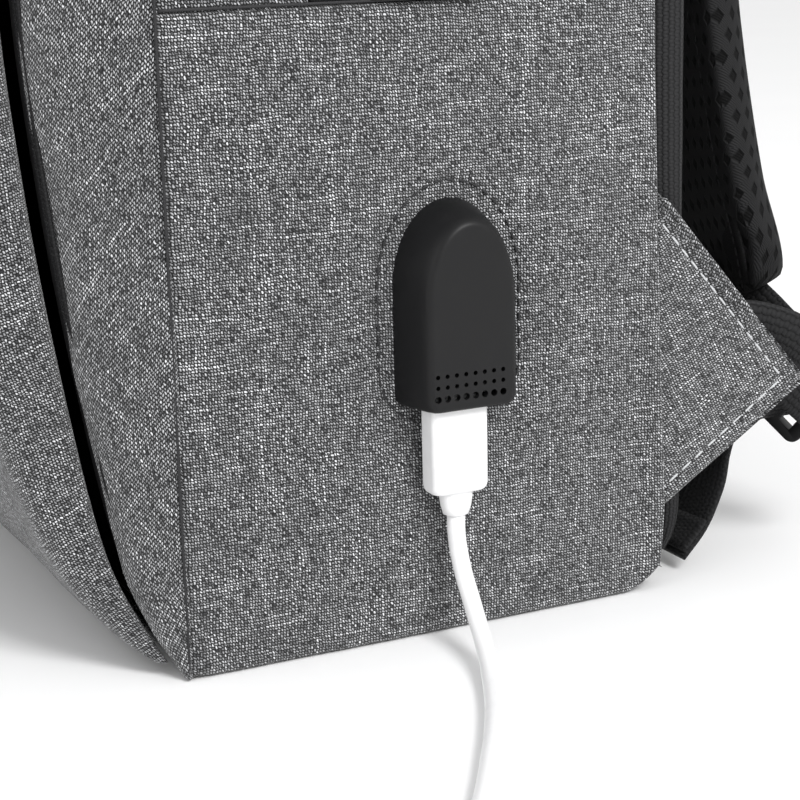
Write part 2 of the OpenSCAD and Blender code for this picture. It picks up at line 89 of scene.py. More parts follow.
def smooth_through(table):
    """A smooth curve through a table's points, without overshoot."""
    x, y = np.array(table, float).T
    step = np.diff(y) / np.diff(x)
    slope = np.zeros(len(x))
    for i in range(1, len(x) - 1):
        a, b = step[i - 1], step[i]
        slope[i] = 2 * a * b / (a + b) if a * b > 0 else 0
    slope[0], slope[-1] = step[0], step[-1]

    def value(at):
        at = np.clip(np.asarray(at, float), x[0], x[-1])
        i = np.clip(np.searchsorted(x, at) - 1, 0, len(x) - 2)
        h = x[i + 1] - x[i]
        t = (at - x[i]) / h
        return (
            y[i] * (1 + 2 * t) * (1 - t) ** 2
            + slope[i] * h * t * (1 - t) ** 2
            + y[i + 1] * t * t * (3 - 2 * t)
            + slope[i + 1] * h * t * t * (t - 1)
        )

    return value


rim = smooth_through(RIM)
flap_thickness = smooth_through(FLAP_T)


def rough(points, size, height, seed=0.0):
    """Slow unevenness of cloth at some points: a height in millimetres for each."""
    shift = Vector((seed, seed * 1.7, seed * 0.3))
    flat = points.reshape(-1, 3)
    out = [noise.noise(Vector(p) / size + shift) for p in flat]
    return np.array(out).reshape(points.shape[:-1]) * height


# ---- meshes ----

MATERIALS = {}
right_to_left = np.array([-1.0, 1.0, 1.0])


def finish_piece(obj, material, body, *nodes):
    """Gives a piece its material and hides the CAD nodes that it stands for; a piece with one body is
    attached to it, and a piece given a pair of bodies only has its transform baked.
    """
    obj.data.materials.clear()
    obj.data.materials.append(MATERIALS[material])
    if nodes:
        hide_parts(*nodes)
    if isinstance(body, str):
        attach(obj, body)
    else:
        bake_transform(obj)
    return obj


def mesh_object(name, verts, faces, uvs=None, smooth=True):
    """A mesh from points in millimetres, with a weave map in metres for each point."""
    mesh = bpy.data.meshes.new(name)
    mesh.from_pydata([tuple(float(c) * MM for c in v) for v in verts], [], faces)
    if uvs is not None:
        layer = mesh.uv_layers.new(name="weave")
        flat = np.empty(len(mesh.loops), dtype=np.int32)
        mesh.loops.foreach_get("vertex_index", flat)
        layer.data.foreach_set("uv", (np.asarray(uvs, float)[flat] * MM).ravel())
    mesh.update()
    obj = bpy.data.objects.new(name, mesh)
    bpy.context.scene.collection.objects.link(obj)
    for p in mesh.polygons:
        p.use_smooth = smooth
    return obj


def grid(*lines):
    """A grid of points from broadcast coordinates, in the order x, y, z."""
    return np.stack(np.broadcast_arrays(*lines), axis=-1).astype(float)


def grid_normals(p):
    """Unit normals of a grid of points, by the right hand from rows to columns."""
    n = np.cross(np.gradient(p, axis=0), np.gradient(p, axis=1))
    return n / np.maximum(np.linalg.norm(n, axis=-1, keepdims=True), 1e-9)


def arc_uv(p):
    """Lengths along a grid's rows and columns, in millimetres, so that a weave keeps its size."""
    along_j = np.linalg.norm(np.diff(p, axis=1), axis=-1)
    along_i = np.linalg.norm(np.diff(p, axis=0), axis=-1)
    u = np.concatenate([np.zeros((p.shape[0], 1)), np.cumsum(along_j, axis=1)], axis=1)
    v = np.concatenate([np.zeros((1, p.shape[1])), np.cumsum(along_i, axis=0)], axis=0)
    return np.stack([u - u[:, -1:] / 2, v], axis=-1)


def sheet_mesh(name, p, thick, uv=None, outward=1, inner=None):
    """A closed cloth shell whose outer face is a grid of points; its inner face follows or is given."""
    p = np.asarray(p, float)
    rows, cols = p.shape[:2]
    normal = grid_normals(p) * outward
    uv = arc_uv(p) if uv is None else np.asarray(uv, float)
    inner = p - normal * thick if inner is None else inner
    count = rows * cols
    verts = np.concatenate([p.reshape(-1, 3), inner.reshape(-1, 3)])
    uvs = np.concatenate([uv.reshape(-1, 2), uv.reshape(-1, 2)])
    faces = []
    for i in range(rows - 1):
        for j in range(cols - 1):
            a, b, c, d = i * cols + j, (i + 1) * cols + j, (i + 1) * cols + j + 1, i * cols + j + 1
            faces.append((a, b, c, d))
            faces.append((d + count, c + count, b + count, a + count))
    edge = [(0, j) for j in range(cols)] + [(i, cols - 1) for i in range(1, rows)]
    edge += [(rows - 1, j) for j in range(cols - 2, -1, -1)] + [(i, 0) for i in range(rows - 2, 0, -1)]
    ring = [i * cols + j for i, j in edge]
    for k, a in enumerate(ring):
        b = ring[(k + 1) % len(ring)]
        faces.append((a, b, b + count, a + count))
    if outward < 0:
        faces = [f[::-1] for f in faces]
    return mesh_object(name, verts, faces, uvs)


def loft_mesh(name, rings, uv=None, caps=True, closed=True):
    """A closed solid through rings of points."""
    rings = np.asarray(rings, float)
    m, n = rings.shape[:2]
    if uv is None:
        loop = np.concatenate([rings, rings[:, :1]], axis=1)
        uv = arc_uv(loop)[:, :n]
    faces = []
    for i in range(m - 1):
        for k in range(n if closed else n - 1):
            q = (k + 1) % n
            faces.append((i * n + k, i * n + q, (i + 1) * n + q, (i + 1) * n + k))
    if caps:
        faces.append(tuple(range(n - 1, -1, -1)))
        faces.append(tuple((m - 1) * n + k for k in range(n)))
    return face_out(mesh_object(name, rings.reshape(-1, 3), faces, np.asarray(uv).reshape(-1, 2)))


def face_out(obj):
    """Turns a closed mesh's faces outwards."""
    bm = bmesh.new()
    bm.from_mesh(obj.data)
    bmesh.ops.recalc_face_normals(bm, faces=bm.faces)
    bm.to_mesh(obj.data)
    bm.free()
    return obj


def mirror_piece(obj, name):
    """The left-hand copy of a right-hand piece."""
    mesh = obj.data.copy()
    mesh.transform(Matrix.Diagonal((-1, 1, 1, 1)))
    mesh.flip_normals()
    copy = bpy.data.objects.new(name, mesh)
    bpy.context.scene.collection.objects.link(copy)
    return copy


def bake_modifiers(obj):
    """Replaces an object's mesh by its modified one."""
    bpy.context.view_layer.update()
    graph = bpy.context.evaluated_depsgraph_get()
    mesh = bpy.data.meshes.new_from_object(obj.evaluated_get(graph), depsgraph=graph)
    obj.modifiers.clear()
    obj.data = mesh
    return obj


def tube_rings(path, radius, sides):
    """Rings of a round tube along a path, and the path's own frames kept from twisting."""
    path = np.asarray(path, float)
    tangent = np.gradient(path, axis=0)
    tangent /= np.linalg.norm(tangent, axis=1, keepdims=True)
    side = np.cross(tangent[0], [0, 1, 0] if abs(tangent[0][2]) > 0.5 else [0, 0, 1])
    rings = []
    for i, at in enumerate(path):
        side = side - tangent[i] * (side @ tangent[i])
        side /= np.linalg.norm(side)
        up = np.cross(tangent[i], side)
        r = radius[i] if np.ndim(radius) else radius
        angles = np.arange(sides) * 2 * math.pi / sides
        rings.append([at + (side * math.cos(a) + up * math.sin(a)) * r for a in angles])
    return np.array(rings)


def smooth_rows(rows, count):
    """Rows on a smooth curve through some rows of numbers, with count steps from each to the next."""
    ext = np.concatenate([[2 * rows[0] - rows[1]], rows, [2 * rows[-1] - rows[-2]]])
    fine = []
    for a, b, c, d in zip(ext, ext[1:], ext[2:], ext[3:]):
        for t in np.linspace(0, 1, count, endpoint=False):
            bend, twist = (2 * a - 5 * b + 4 * c - d) * t**2, (3 * b - a - 3 * c + d) * t**3
            fine.append(0.5 * (2 * b + (c - a) * t + bend + twist))
    fine.append(rows[-1])
    return np.array(fine)


def curve_through(points, step):
    """Evenly spaced points on a smooth curve through some points."""
    return even(smooth_rows(np.asarray(points, float), 24), step)


def at_shares(line, shares):
    """Points at shares of the way through a line's list of points."""
    places = np.linspace(0, 1, len(line))
    return np.stack([np.interp(shares, places, line[:, k]) for k in range(3)], axis=1)


def even(line, step):
    """A polyline's points, spaced evenly."""
    line = np.asarray(line, float)
    length = np.concatenate([[0], np.cumsum(np.linalg.norm(np.diff(line, axis=0), axis=1))])
    at = np.linspace(0, length[-1], max(2, int(round(length[-1] / step)) + 1))
    return np.stack([np.interp(at, length, line[:, k]) for k in range(line.shape[1])], axis=1)


# ---- shader nodes ----


class Tree:
    """Short hands for building a shader node tree."""

    def __init__(self, tree):
        self.tree = tree

    def node(self, kind, inputs=None, **settings):
        made = self.tree.nodes.new(kind)
        for key, value in settings.items():
            setattr(made, key, value)
        for key, value in (inputs or {}).items():
            self.put(made.inputs[key], value)
        return made

    def put(self, socket, value):
        if isinstance(value, bpy.types.NodeSocket):
            self.tree.links.new(value, socket)
        else:
            socket.default_value = value

    def math(self, operation, *values, clamp=False):
        inputs = dict(enumerate(values))
        return self.node("ShaderNodeMath", inputs, operation=operation, use_clamp=clamp).outputs[0]

    def vector(self, operation, a, b=(0, 0, 0)):
        return self.node("ShaderNodeVectorMath", {0: a, 1: b}, operation=operation).outputs[0]

    def scale(self, a, factor):
        return self.node("ShaderNodeVectorMath", {"Vector": a, "Scale": factor}, operation="SCALE").outputs[0]

    def mix(self, factor, a, b, blend="MIX"):
        made = self.node("ShaderNodeMix", data_type="RGBA", blend_type=blend)
        for socket, value in ((made.inputs[0], factor), (made.inputs[6], a), (made.inputs[7], b)):
            self.put(socket, value)
        return made.outputs[2]

    def ramp(self, value, low, high, to_low=0.0, to_high=1.0):
        inputs = {"Value": value, "From Min": low, "From Max": high, "To Min": to_low, "To Max": to_high}
        return self.node("ShaderNodeMapRange", inputs, clamp=True).outputs[0]

    def noise(self, vector, scale=1.0, detail=2.0, roughness=0.5):
        inputs = {"Vector": vector, "Scale": scale, "Detail": detail, "Roughness": roughness}
        return self.node("ShaderNodeTexNoise", inputs).outputs[0]

    def split(self, vector):
        return self.node("ShaderNodeSeparateXYZ", {0: vector}).outputs

    def join(self, x, y, z=0.0):
        return self.node("ShaderNodeCombineXYZ", {0: x, 1: y, 2: z}).outputs[0]


def node_group(name, inputs, outputs, build):
    """A shader node group with named sockets."""
    group = bpy.data.node_groups.new(name, "ShaderNodeTree")
    kinds = {"f": "NodeSocketFloat", "c": "NodeSocketColor", "v": "NodeSocketVector"}
    for key, kind in inputs:
        group.interface.new_socket(key, in_out="INPUT", socket_type=kinds[kind])
    for key, kind in outputs:
        group.interface.new_socket(key, in_out="OUTPUT", socket_type=kinds[kind])
    t = Tree(group)
    given = t.node("NodeGroupInput").outputs
    results = t.node("NodeGroupOutput").inputs
    for key, value in build(t, given).items():
        t.put(results[key], value)
    return group


def build_weave(t, given):
    """Plain weave: threads of uneven tone, pressed round where they cross, with painted shade darkening the
    gaps between threads.
    """
    at = t.scale(given["Coordinates"], t.math("DIVIDE", 1.0, given["Pitch"]))
    for scale, reach in ((0.09, 1.6), (0.7, 0.8)):
        wander = t.node("ShaderNodeTexNoise", {"Vector": at, "Scale": scale, "Detail": 1.0}).outputs[1]
        at = t.vector("ADD", at, t.scale(t.vector("SUBTRACT", wander, (0.5, 0.5, 0.5)), reach))
    u, v, _ = t.split(at)
    i, j = t.math("FLOOR", u), t.math("FLOOR", v)
    fu, fv = t.math("FRACT", u), t.math("FRACT", v)
    over = t.math("GREATER_THAN", t.math("FLOORED_MODULO", t.math("ADD", i, j), 2.0), 0.5)

    def thread(number, along, seed):
        short = t.join(t.math("MULTIPLY", number, 3.71), t.math("MULTIPLY", along, 0.3), seed)
        streak = t.noise(short, 1.0, 3.0, 0.7)
        long = t.join(t.math("MULTIPLY", number, 7.13), t.math("MULTIPLY", along, 0.045), seed)
        slub = t.noise(long, 1.0, 0.0)
        return t.math("ADD", streak, t.math("MULTIPLY", t.ramp(slub, 0.66, 0.76), given["Slub"]))

    warp = t.math("ADD", thread(i, v, 3.0), given["Contrast"])
    weft = t.math("SUBTRACT", thread(j, u, 40.0), given["Contrast"])
    under = t.math("SUBTRACT", 1.0, over)
    shade = t.math("ADD", t.math("MULTIPLY", warp, over), t.math("MULTIPLY", weft, under))
    fleck = t.node("ShaderNodeTexWhiteNoise", {"Vector": t.join(i, j, 5.0)}).outputs[0]
    shade = t.math("ADD", shade, t.math("MULTIPLY", t.math("SUBTRACT", fleck, 0.5), 0.22))
    shade = t.math("POWER", t.ramp(shade, 0.28, 0.76), 1.25)
    own = t.split(t.mix(over, t.join(fv, fu), t.join(fu, fv)))
    lean = t.math("MULTIPLY", t.math("SUBTRACT", own[1], 0.5), 0.34)
    off = t.math("MULTIPLY", t.math("ADD", t.math("SUBTRACT", own[0], 0.5), lean), math.pi * 0.92)
    across = t.math("POWER", t.math("MAXIMUM", t.math("COSINE", off), 0.0), 2.6)
    lengthwise = t.math("POWER", t.math("SINE", t.math("MULTIPLY", own[1], math.pi)), 0.45)
    pillow = t.math("MULTIPLY", across, lengthwise)
    color = t.mix(shade, given["Dark"], given["Light"])
    # Painted shade: the colour is multiplied towards black where the pillow is low, in the gaps between the
    # threads.
    color = t.mix(1.0, color, t.join(*[t.ramp(pillow, 0.22, 0.95, 0.0, 1.15)] * 3), "MULTIPLY")
    fibre = t.noise(t.scale(at, 7.0), 1.0, 2.0)
    height = t.math("ADD", pillow, t.math("MULTIPLY", fibre, 0.25))
    return {"Color": color, "Height": height}


def build_ribs(t, given):
    """Ribbed webbing or knit: ribs along the length, crossed by fine threads, with painted shade darkening
    the grooves.
    """
    u, v, _ = t.split(given["Coordinates"])
    across = t.math("DIVIDE", u, given["Rib"])
    lean = t.math("MULTIPLY", t.math("PINGPONG", t.math("DIVIDE", v, given["Thread"]), 1.0), 0.22)
    rib = t.math("ABSOLUTE", t.math("SINE", t.math("MULTIPLY", t.math("ADD", across, lean), math.pi)))
    cross = t.math("DIVIDE", v, given["Thread"])
    cross = t.math("ADD", cross, t.math("MULTIPLY", t.math("FLOOR", across), 0.5))
    thread = t.math("ABSOLUTE", t.math("SINE", t.math("MULTIPLY", cross, math.pi)))
    ridge = t.math("MULTIPLY", t.math("POWER", rib, 0.5), 0.7)
    height = t.math("ADD", ridge, t.math("MULTIPLY", thread, 0.3))
    dusty = t.noise(t.scale(given["Coordinates"], 900.0), 1.0, 3.0)
    # Painted shade: the colour is darker where the height is low, in the grooves between ribs and threads;
    # the dusty noise adds random tone.
    shade = t.math("MULTIPLY", t.ramp(height, 0.1, 1.0, 0.25, 1.0), t.ramp(dusty, 0.3, 0.7, 0.8, 1.2))
    return {"Color": t.mix(shade, (0.002, 0.002, 0.002, 1), given["Tint"]), "Height": height}


def build_mesh(t, given):
    """Spacer mesh: staggered diamond holes in a fine knit, the holes painted near black as shade inside them.
    """
    at = t.scale(given["Coordinates"], t.math("DIVIDE", 1.0, given["Pitch"]))
    u, v, _ = t.split(at)
    v = t.math("MULTIPLY", v, 0.62)
    row = t.math("FLOOR", v)
    u = t.math("ADD", u, t.math("MULTIPLY", row, 0.5))
    du = t.math("ABSOLUTE", t.math("SUBTRACT", t.math("FRACT", u), 0.5))
    dv = t.math("ABSOLUTE", t.math("SUBTRACT", t.math("FRACT", v), 0.5))
    reach = t.math("ADD", t.math("MULTIPLY", du, 1.25), t.math("MULTIPLY", dv, 0.95))
    solid = t.ramp(reach, 0.26, 0.42)
    knit = t.math("ABSOLUTE", t.math("SINE", t.math("MULTIPLY", t.math("ADD", u, v), 22.0)))
    # Painted shade: the holes are coloured near black for the shade inside the openings.
    color = t.mix(solid, (0.002, 0.002, 0.0022, 1), given["Tint"])
    color = t.mix(t.math("MULTIPLY", knit, 0.45), color, (0.004, 0.004, 0.004, 1))
    height = t.math("ADD", solid, t.math("MULTIPLY", knit, 0.12))
    return {"Color": color, "Height": height}


def build_grain(t, given):
    """Moulded grain: fine pits, faint marks and paler rubbed places."""
    at = given["Coordinates"]
    pits = t.noise(at, given["Scale"], 3.0, 0.6)
    marks = t.noise(at, t.math("MULTIPLY", given["Scale"], 0.06), 4.0, 0.6)
    worn = t.ramp(marks, 0.52, 0.75)
    return {"Height": pits, "Marks": worn}


WEAVE = node_group(
    "plain_weave",
    [("Coordinates", "v"), ("Pitch", "f"), ("Slub", "f"), ("Contrast", "f"), ("Light", "c"), ("Dark", "c")],
    [("Color", "c"), ("Height", "f")],
    build_weave,
)
RIBS = node_group(
    "ribbed_webbing",
    [("Coordinates", "v"), ("Rib", "f"), ("Thread", "f"), ("Tint", "c")],
    [("Color", "c"), ("Height", "f")],
    build_ribs,
)
MESH = node_group(
    "spacer_mesh",
    [("Coordinates", "v"), ("Pitch", "f"), ("Tint", "c")],
    [("Color", "c"), ("Height", "f")],
    build_mesh,
)
GRAIN = node_group(
    "moulded_grain", [("Coordinates", "v"), ("Scale", "f")], [("Height", "f"), ("Marks", "f")], build_grain
)


def material(name, slot, build, **sockets):
    """A material: build(t, bsdf) links what changes over the surface, sockets are constants."""
    made = bpy.data.materials.new(name)
    made.use_nodes = True
    t = Tree(made.node_tree)
    bsdf = made.node_tree.nodes["Principled BSDF"]
    for key, value in sockets.items():
        bsdf.inputs[key.replace("_", " ")].default_value = value
    build(t, bsdf)
    MATERIALS[name] = made
    return made


def use_group(t, group, **inputs):
    made = t.node("ShaderNodeGroup", node_tree=group)
    for key, value in inputs.items():
        t.put(made.inputs[key], value)
    return made.outputs


def bump(t, bsdf, height, distance, strength=1.0):
    made = t.node("ShaderNodeBump", {"Height": height, "Distance": distance, "Strength": strength})
    t.put(bsdf.inputs["Normal"], made.outputs[0])


def weave_map(t):
    return t.node("ShaderNodeUVMap", uv_map="weave").outputs[0]


def object_map(t):
    return t.node("ShaderNodeTexCoord").outputs["Object"]


def woven(pitch, slub, contrast, light, dark, height=0.00016):
    """A woven cloth that follows a piece's own weave map."""

    def build(t, bsdf):
        made = {"Pitch": pitch, "Slub": slub, "Contrast": contrast, "Light": light, "Dark": dark}
        out = use_group(t, WEAVE, Coordinates=weave_map(t), **made)
        cloud = t.noise(object_map(t), 38.0, 3.0)
        color = t.mix(t.ramp(cloud, 0.3, 0.7, 0.0, 0.16), out["Color"], (0.02, 0.02, 0.022, 1))
        t.put(bsdf.inputs["Base Color"], color)
        t.put(bsdf.inputs["Roughness"], t.ramp(out["Height"], 0.2, 1.1, 0.95, 0.78))
        bump(t, bsdf, out["Height"], height, 0.9)

    return build


def ribbed(rib, thread, tint, height=0.0004):
    def build(t, bsdf):
        out = use_group(t, RIBS, Coordinates=weave_map(t), Rib=rib, Thread=thread, Tint=tint)
        t.put(bsdf.inputs["Base Color"], out["Color"])
        t.put(bsdf.inputs["Roughness"], t.ramp(out["Height"], 0.2, 1.0, 0.9, 0.62))
        bump(t, bsdf, out["Height"], height, 0.9)

    return build


def holed(pitch, tint):
    def build(t, bsdf):
        out = use_group(t, MESH, Coordinates=weave_map(t), Pitch=pitch, Tint=tint)
        t.put(bsdf.inputs["Base Color"], out["Color"])
        t.put(bsdf.inputs["Roughness"], t.ramp(out["Height"], 0.0, 1.0, 0.95, 0.72))
        bump(t, bsdf, out["Height"], 0.0012, 0.8)

    return build


def moulded(base, worn, grain, low, high, height):
    """Moulded plastic or cast metal: grain, and a roughness that changes where it is rubbed."""

    def build(t, bsdf):
        out = use_group(t, GRAIN, Coordinates=object_map(t), Scale=grain)
        t.put(bsdf.inputs["Base Color"], t.mix(out["Marks"], base, worn))
        t.put(bsdf.inputs["Roughness"], t.ramp(out["Marks"], 0.0, 1.0, low, high))
        bump(t, bsdf, out["Height"], height, 0.6)

    return build


def yarn(tint, dark):
    """Sewing thread: fine twist across the stitch."""

    def build(t, bsdf):
        fibre = t.noise(object_map(t), 5200.0, 2.0)
        t.put(bsdf.inputs["Base Color"], t.mix(t.ramp(fibre, 0.3, 0.7), dark, tint))
        t.put(bsdf.inputs["Roughness"], t.ramp(fibre, 0.3, 0.7, 0.55, 0.8))
        bump(t, bsdf, fibre, 0.0001, 0.6)

    return build


material(
    "melange", "melange_fabric",
    woven(0.00076, 0.42, 0.03, (0.85, 0.86, 0.88, 1), (0.015, 0.016, 0.019, 1), 0.0002),
    Sheen_Weight=0.25, Sheen_Roughness=0.6, Specular_IOR_Level=0.15,
)
material(
    "lining", "black_lining",
    woven(0.00035, 0.05, 0.0, (0.016, 0.016, 0.018, 1), (0.005, 0.005, 0.0055, 1), 0.00005),
    Specular_IOR_Level=0.35,
)
webbing_ribs = ribbed(0.0021, 0.0011, (0.013, 0.013, 0.014, 1))
binding_ribs = ribbed(0.0016, 0.0009, (0.017, 0.017, 0.018, 1))
zip_ribs = ribbed(0.0007, 0.0006, (0.012, 0.012, 0.013, 1), 0.0001)
material("webbing", "black_webbing", webbing_ribs, Specular_IOR_Level=0.3)
material("binding", "black_webbing", binding_ribs, Specular_IOR_Level=0.25)
material("zip_cloth", "zip_tape", zip_ribs, Specular_IOR_Level=0.3)
material("mesh", "black_mesh", holed(0.0036, (0.015, 0.015, 0.016, 1)), Specular_IOR_Level=0.25)
material(
    "black_plastic", "black_plastic",
    moulded((0.0035, 0.0035, 0.004, 1), (0.006, 0.006, 0.0065, 1), 2600.0, 0.46, 0.6, 0.00003),
    Specular_IOR_Level=0.3,
)
material(
    "white_plastic", "white_plastic",
    moulded((0.86, 0.86, 0.865, 1), (0.80, 0.80, 0.81, 1), 1500.0, 0.36, 0.5, 0.00002),
    Specular_IOR_Level=0.45, Subsurface_Weight=0.06, Subsurface_Radius=(0.002, 0.002, 0.002),
)
material(
    "enamel", "dark_metal",
    moulded((0.014, 0.014, 0.015, 1), (0.05, 0.05, 0.052, 1), 1800.0, 0.24, 0.38, 0.00002),
    Specular_IOR_Level=0.6, Coat_Weight=0.3,
)
material(
    "nickel", "plug_metal",
    moulded((0.62, 0.62, 0.63, 1), (0.5, 0.5, 0.5, 1), 2200.0, 0.24, 0.4, 0.00001),
    Metallic=1.0,
)
material("dark_thread", "black_webbing", yarn((0.02, 0.02, 0.022, 1), (0.006, 0.006, 0.007, 1)))
material("pale_thread", "melange_fabric", yarn((0.72, 0.73, 0.74, 1), (0.38, 0.39, 0.4, 1)))
material(
    "nylon", "zip_tape",
    moulded((0.016, 0.016, 0.017, 1), (0.03, 0.03, 0.032, 1), 2500.0, 0.35, 0.5, 0.00002),
    Specular_IOR_Level=0.5,
)


# ---- repeated things, by geometry nodes ----


def capsule(name, length, radius):
    """One short stitch along X, with round ends."""
    rings = []
    for x, r in ((-0.5, 0.35), (-0.42, 0.8), (-0.2, 1.0), (0.2, 1.0), (0.42, 0.8), (0.5, 0.35)):
        angles = [k * math.pi / 3 for k in range(6)]
        rings.append([(x * length, math.cos(a) * radius * r, math.sin(a) * radius * r) for a in angles])
    obj = loft_mesh(name, rings)
    bpy.context.scene.collection.objects.unlink(obj)
    return obj


def row_tree(name):
    """Geometry nodes: an item repeated along a line, turned along it and laid on its own side."""
    tree = bpy.data.node_groups.new(name, "GeometryNodeTree")
    face = tree.interface
    face.new_socket("Geometry", in_out="INPUT", socket_type="NodeSocketGeometry")
    sockets = {}
    for key, kind in (
        ("Item", "NodeSocketObject"), ("Spacing", "NodeSocketFloat"), ("Finish", "NodeSocketMaterial"),
        ("Seed", "NodeSocketInt"),
    ):
        sockets[key] = face.new_socket(key, in_out="INPUT", socket_type=kind).identifier
    face.new_socket("Geometry", in_out="OUTPUT", socket_type="NodeSocketGeometry")
    t = Tree(tree)
    given = t.node("NodeGroupInput").outputs
    line = t.node("GeometryNodeMeshToCurve", {"Mesh": given["Geometry"]}).outputs[0]
    dots = t.node("GeometryNodeCurveToPoints", {"Curve": line, "Length": given["Spacing"]}, mode="LENGTH")
    turn = t.node(
        "FunctionNodeAlignRotationToVector", {"Vector": dots.outputs["Tangent"]}, axis="X"
    ).outputs[0]
    lean = t.node(
        "FunctionNodeRandomValue", {"Seed": given["Seed"]}, data_type="FLOAT_VECTOR"
    )
    lean.inputs[0].default_value = (0.9, 0.9, 0.9)
    lean.inputs[1].default_value = (1.08, 1.1, 1.1)
    item = t.node("GeometryNodeObjectInfo", {"Object": given["Item"]}).outputs["Geometry"]
    copies = t.node(
        "GeometryNodeInstanceOnPoints",
        {"Points": dots.outputs["Points"], "Instance": item, "Rotation": turn, "Scale": lean.outputs[0]},
    ).outputs[0]
    real = t.node("GeometryNodeRealizeInstances", {0: copies}).outputs[0]
    done = t.node("GeometryNodeSetMaterial", {"Geometry": real, "Material": given["Finish"]}).outputs[0]
    t.put(t.node("NodeGroupOutput").inputs[0], done)
    return tree, sockets


ROW, ROW_SOCKETS = row_tree("row_along_line")
STITCHES = {}


def row_along(name, lines, item, spacing, finish, body, seed=1):
    """Items repeated along one or more lines of points, made one plain mesh on one body."""
    verts, edges = [], []
    for line in lines:
        first = len(verts)
        verts += [tuple(float(c) * MM for c in p) for p in line]
        edges += [(first + k, first + k + 1) for k in range(len(line) - 1)]
    mesh = bpy.data.meshes.new(name)
    mesh.from_pydata(verts, edges, [])
    obj = bpy.data.objects.new(name, mesh)
    bpy.context.scene.collection.objects.link(obj)
    change = obj.modifiers.new("row", "NODES")
    change.node_group = ROW
    inputs = {"Item": item, "Spacing": spacing * MM, "Finish": MATERIALS[finish], "Seed": seed}
    for key, value in inputs.items():
        change[ROW_SOCKETS[key]] = value
    bake_modifiers(obj)
    for p in obj.data.polygons:
        p.use_smooth = True
    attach(obj, body)
    return obj


def stitches(name, lines, body, finish="dark_thread", length=2.6, gap=1.0, radius=0.28):
    key = (length, radius)
    if key not in STITCHES:
        STITCHES[key] = capsule(f"stitch_{len(STITCHES)}", length, radius)
    return row_along(name, lines, STITCHES[key], length + gap, finish, body)


# ---- camera ----


def make_camera():
    """The camera looks at the lower part of the bag's right side, from the front."""
    azimuth, elevation, roll, distance = (math.radians(64.3), math.radians(14.2), math.radians(-1.4), 474)
    aim = Vector((HALF_W, FRONT + 56.1, 60.9))
    level = math.cos(elevation)
    back = Vector((math.sin(azimuth) * level, -math.cos(azimuth) * level, math.sin(elevation)))
    data = bpy.data.cameras.new("camera")
    data.sensor_width = 36
    data.lens = 89.3
    data.clip_start = 0.01
    camera = bpy.data.objects.new("camera", data)
    camera.rotation_mode = "QUATERNION"
    turn = back.to_track_quat("Z", "Y").to_matrix() @ Matrix.Rotation(roll, 3, "Z")
    camera.rotation_quaternion = turn.to_quaternion()
    camera.location = (aim + back * distance) * MM
    bpy.context.scene.collection.objects.link(camera)
    bpy.context.scene.camera = camera


make_camera()


# ---- USB lead ----

CORD_ROUTE = [
    [156.6, 3.2, 32.5], [156.6, 3.2, 28], [157.3, 3.4, 23.5], [159.3, 3.6, 18], [163, 3.5, 13],
    [168, 2.6, 8.8], [174.5, 0.8, 5.6], [182, -2, 3.6], [190, -5.6, 2.6], [199, -9.9, 2.35],
    [208, -14.7, 2.35], [217, -19.9, 2.35], [226, -25.5, 2.35], [235, -31.2, 2.35],
    [244, -37.2, 2.35], [253, -43.6, 2.35], [262, -50.6, 2.35], [271.2, -58, 2.35], [280.2, -65.6, 2.35],
]
CORD_END = [[287.9, -72, 6.0], [295.5, -78.4, 3.8], [303.2, -84.9, 2.9]]
COIL_TURNS = 5
COIL_START = math.radians(-130)


def coil_points():
    """Turns of the coil: in along the floor, then out again on top."""
    centre = (COIL_LOW + COIL_HIGH) / 2
    outer = (COIL_HIGH.x - COIL_LOW.x) / 2 - CORD_D / 2
    pitch = CORD_D + 0.25
    half = COIL_TURNS / 2
    steps = COIL_TURNS * 40
    points = []
    for k in range(1, steps + 1):
        turn = k * COIL_TURNS / steps
        r = outer - pitch * (turn if turn < half else COIL_TURNS - turn)
        climb = min(max((turn - half + 0.25) / 0.5, 0), 1)
        z = 2.35 + (CORD_D - 0.05) * climb * climb * (3 - 2 * climb)
        a = COIL_START + turn * 2 * math.pi
        points.append([centre.x + r * math.cos(a), centre.y + r * math.sin(a), z])
    return points


def make_cord():
    route = curve_through(CORD_ROUTE, 1.6)
    coil = coil_points()
    tail = curve_through([coil[-1]] + CORD_END, 1.6)
    path = np.concatenate([route, np.array(coil), tail[1:]])
    path = even(path, 1.9)
    obj = loft_mesh("usb_lead", tube_rings(path, CORD_D / 2, 14))
    bend = ("plug_body", "root", (156.6, 3.2, 28), (156.6, 3.2, 5))
    finish_piece(obj, "white_plastic", bend, "cord_tube", "cord_coil")
    length = float(np.linalg.norm(np.diff(path, axis=0), axis=1).sum())
    return obj, path, length


lead, lead_path, lead_length = make_cord()


def rounded_section(width, depth, corner, count=8):
    """Points round a rectangle with round corners, in a plane, from its middle."""
    points = []
    for quarter, (sx, sy) in enumerate(((1, 1), (-1, 1), (-1, -1), (1, -1))):
        for k in range(count):
            a = (quarter + k / (count - 1)) * math.pi / 2
            x = sx * (width / 2 - corner) + corner * math.cos(a)
            y = sy * (depth / 2 - corner) + corner * math.sin(a)
            points.append((x, y))
    return points


def stacked(name, centre, levels, axis="z"):
    """A solid of rounded rectangles: levels are (height, width, depth, corner)."""
    rings = []
    for height, width, depth, corner in levels:
        ring = []
        for a, b in rounded_section(width, depth, corner):
            flat = (centre[0] + a, centre[1] + b)
            ring.append((*flat, height) if axis == "z" else (height, *flat))
        rings.append(ring)
    return loft_mesh(name, rings)


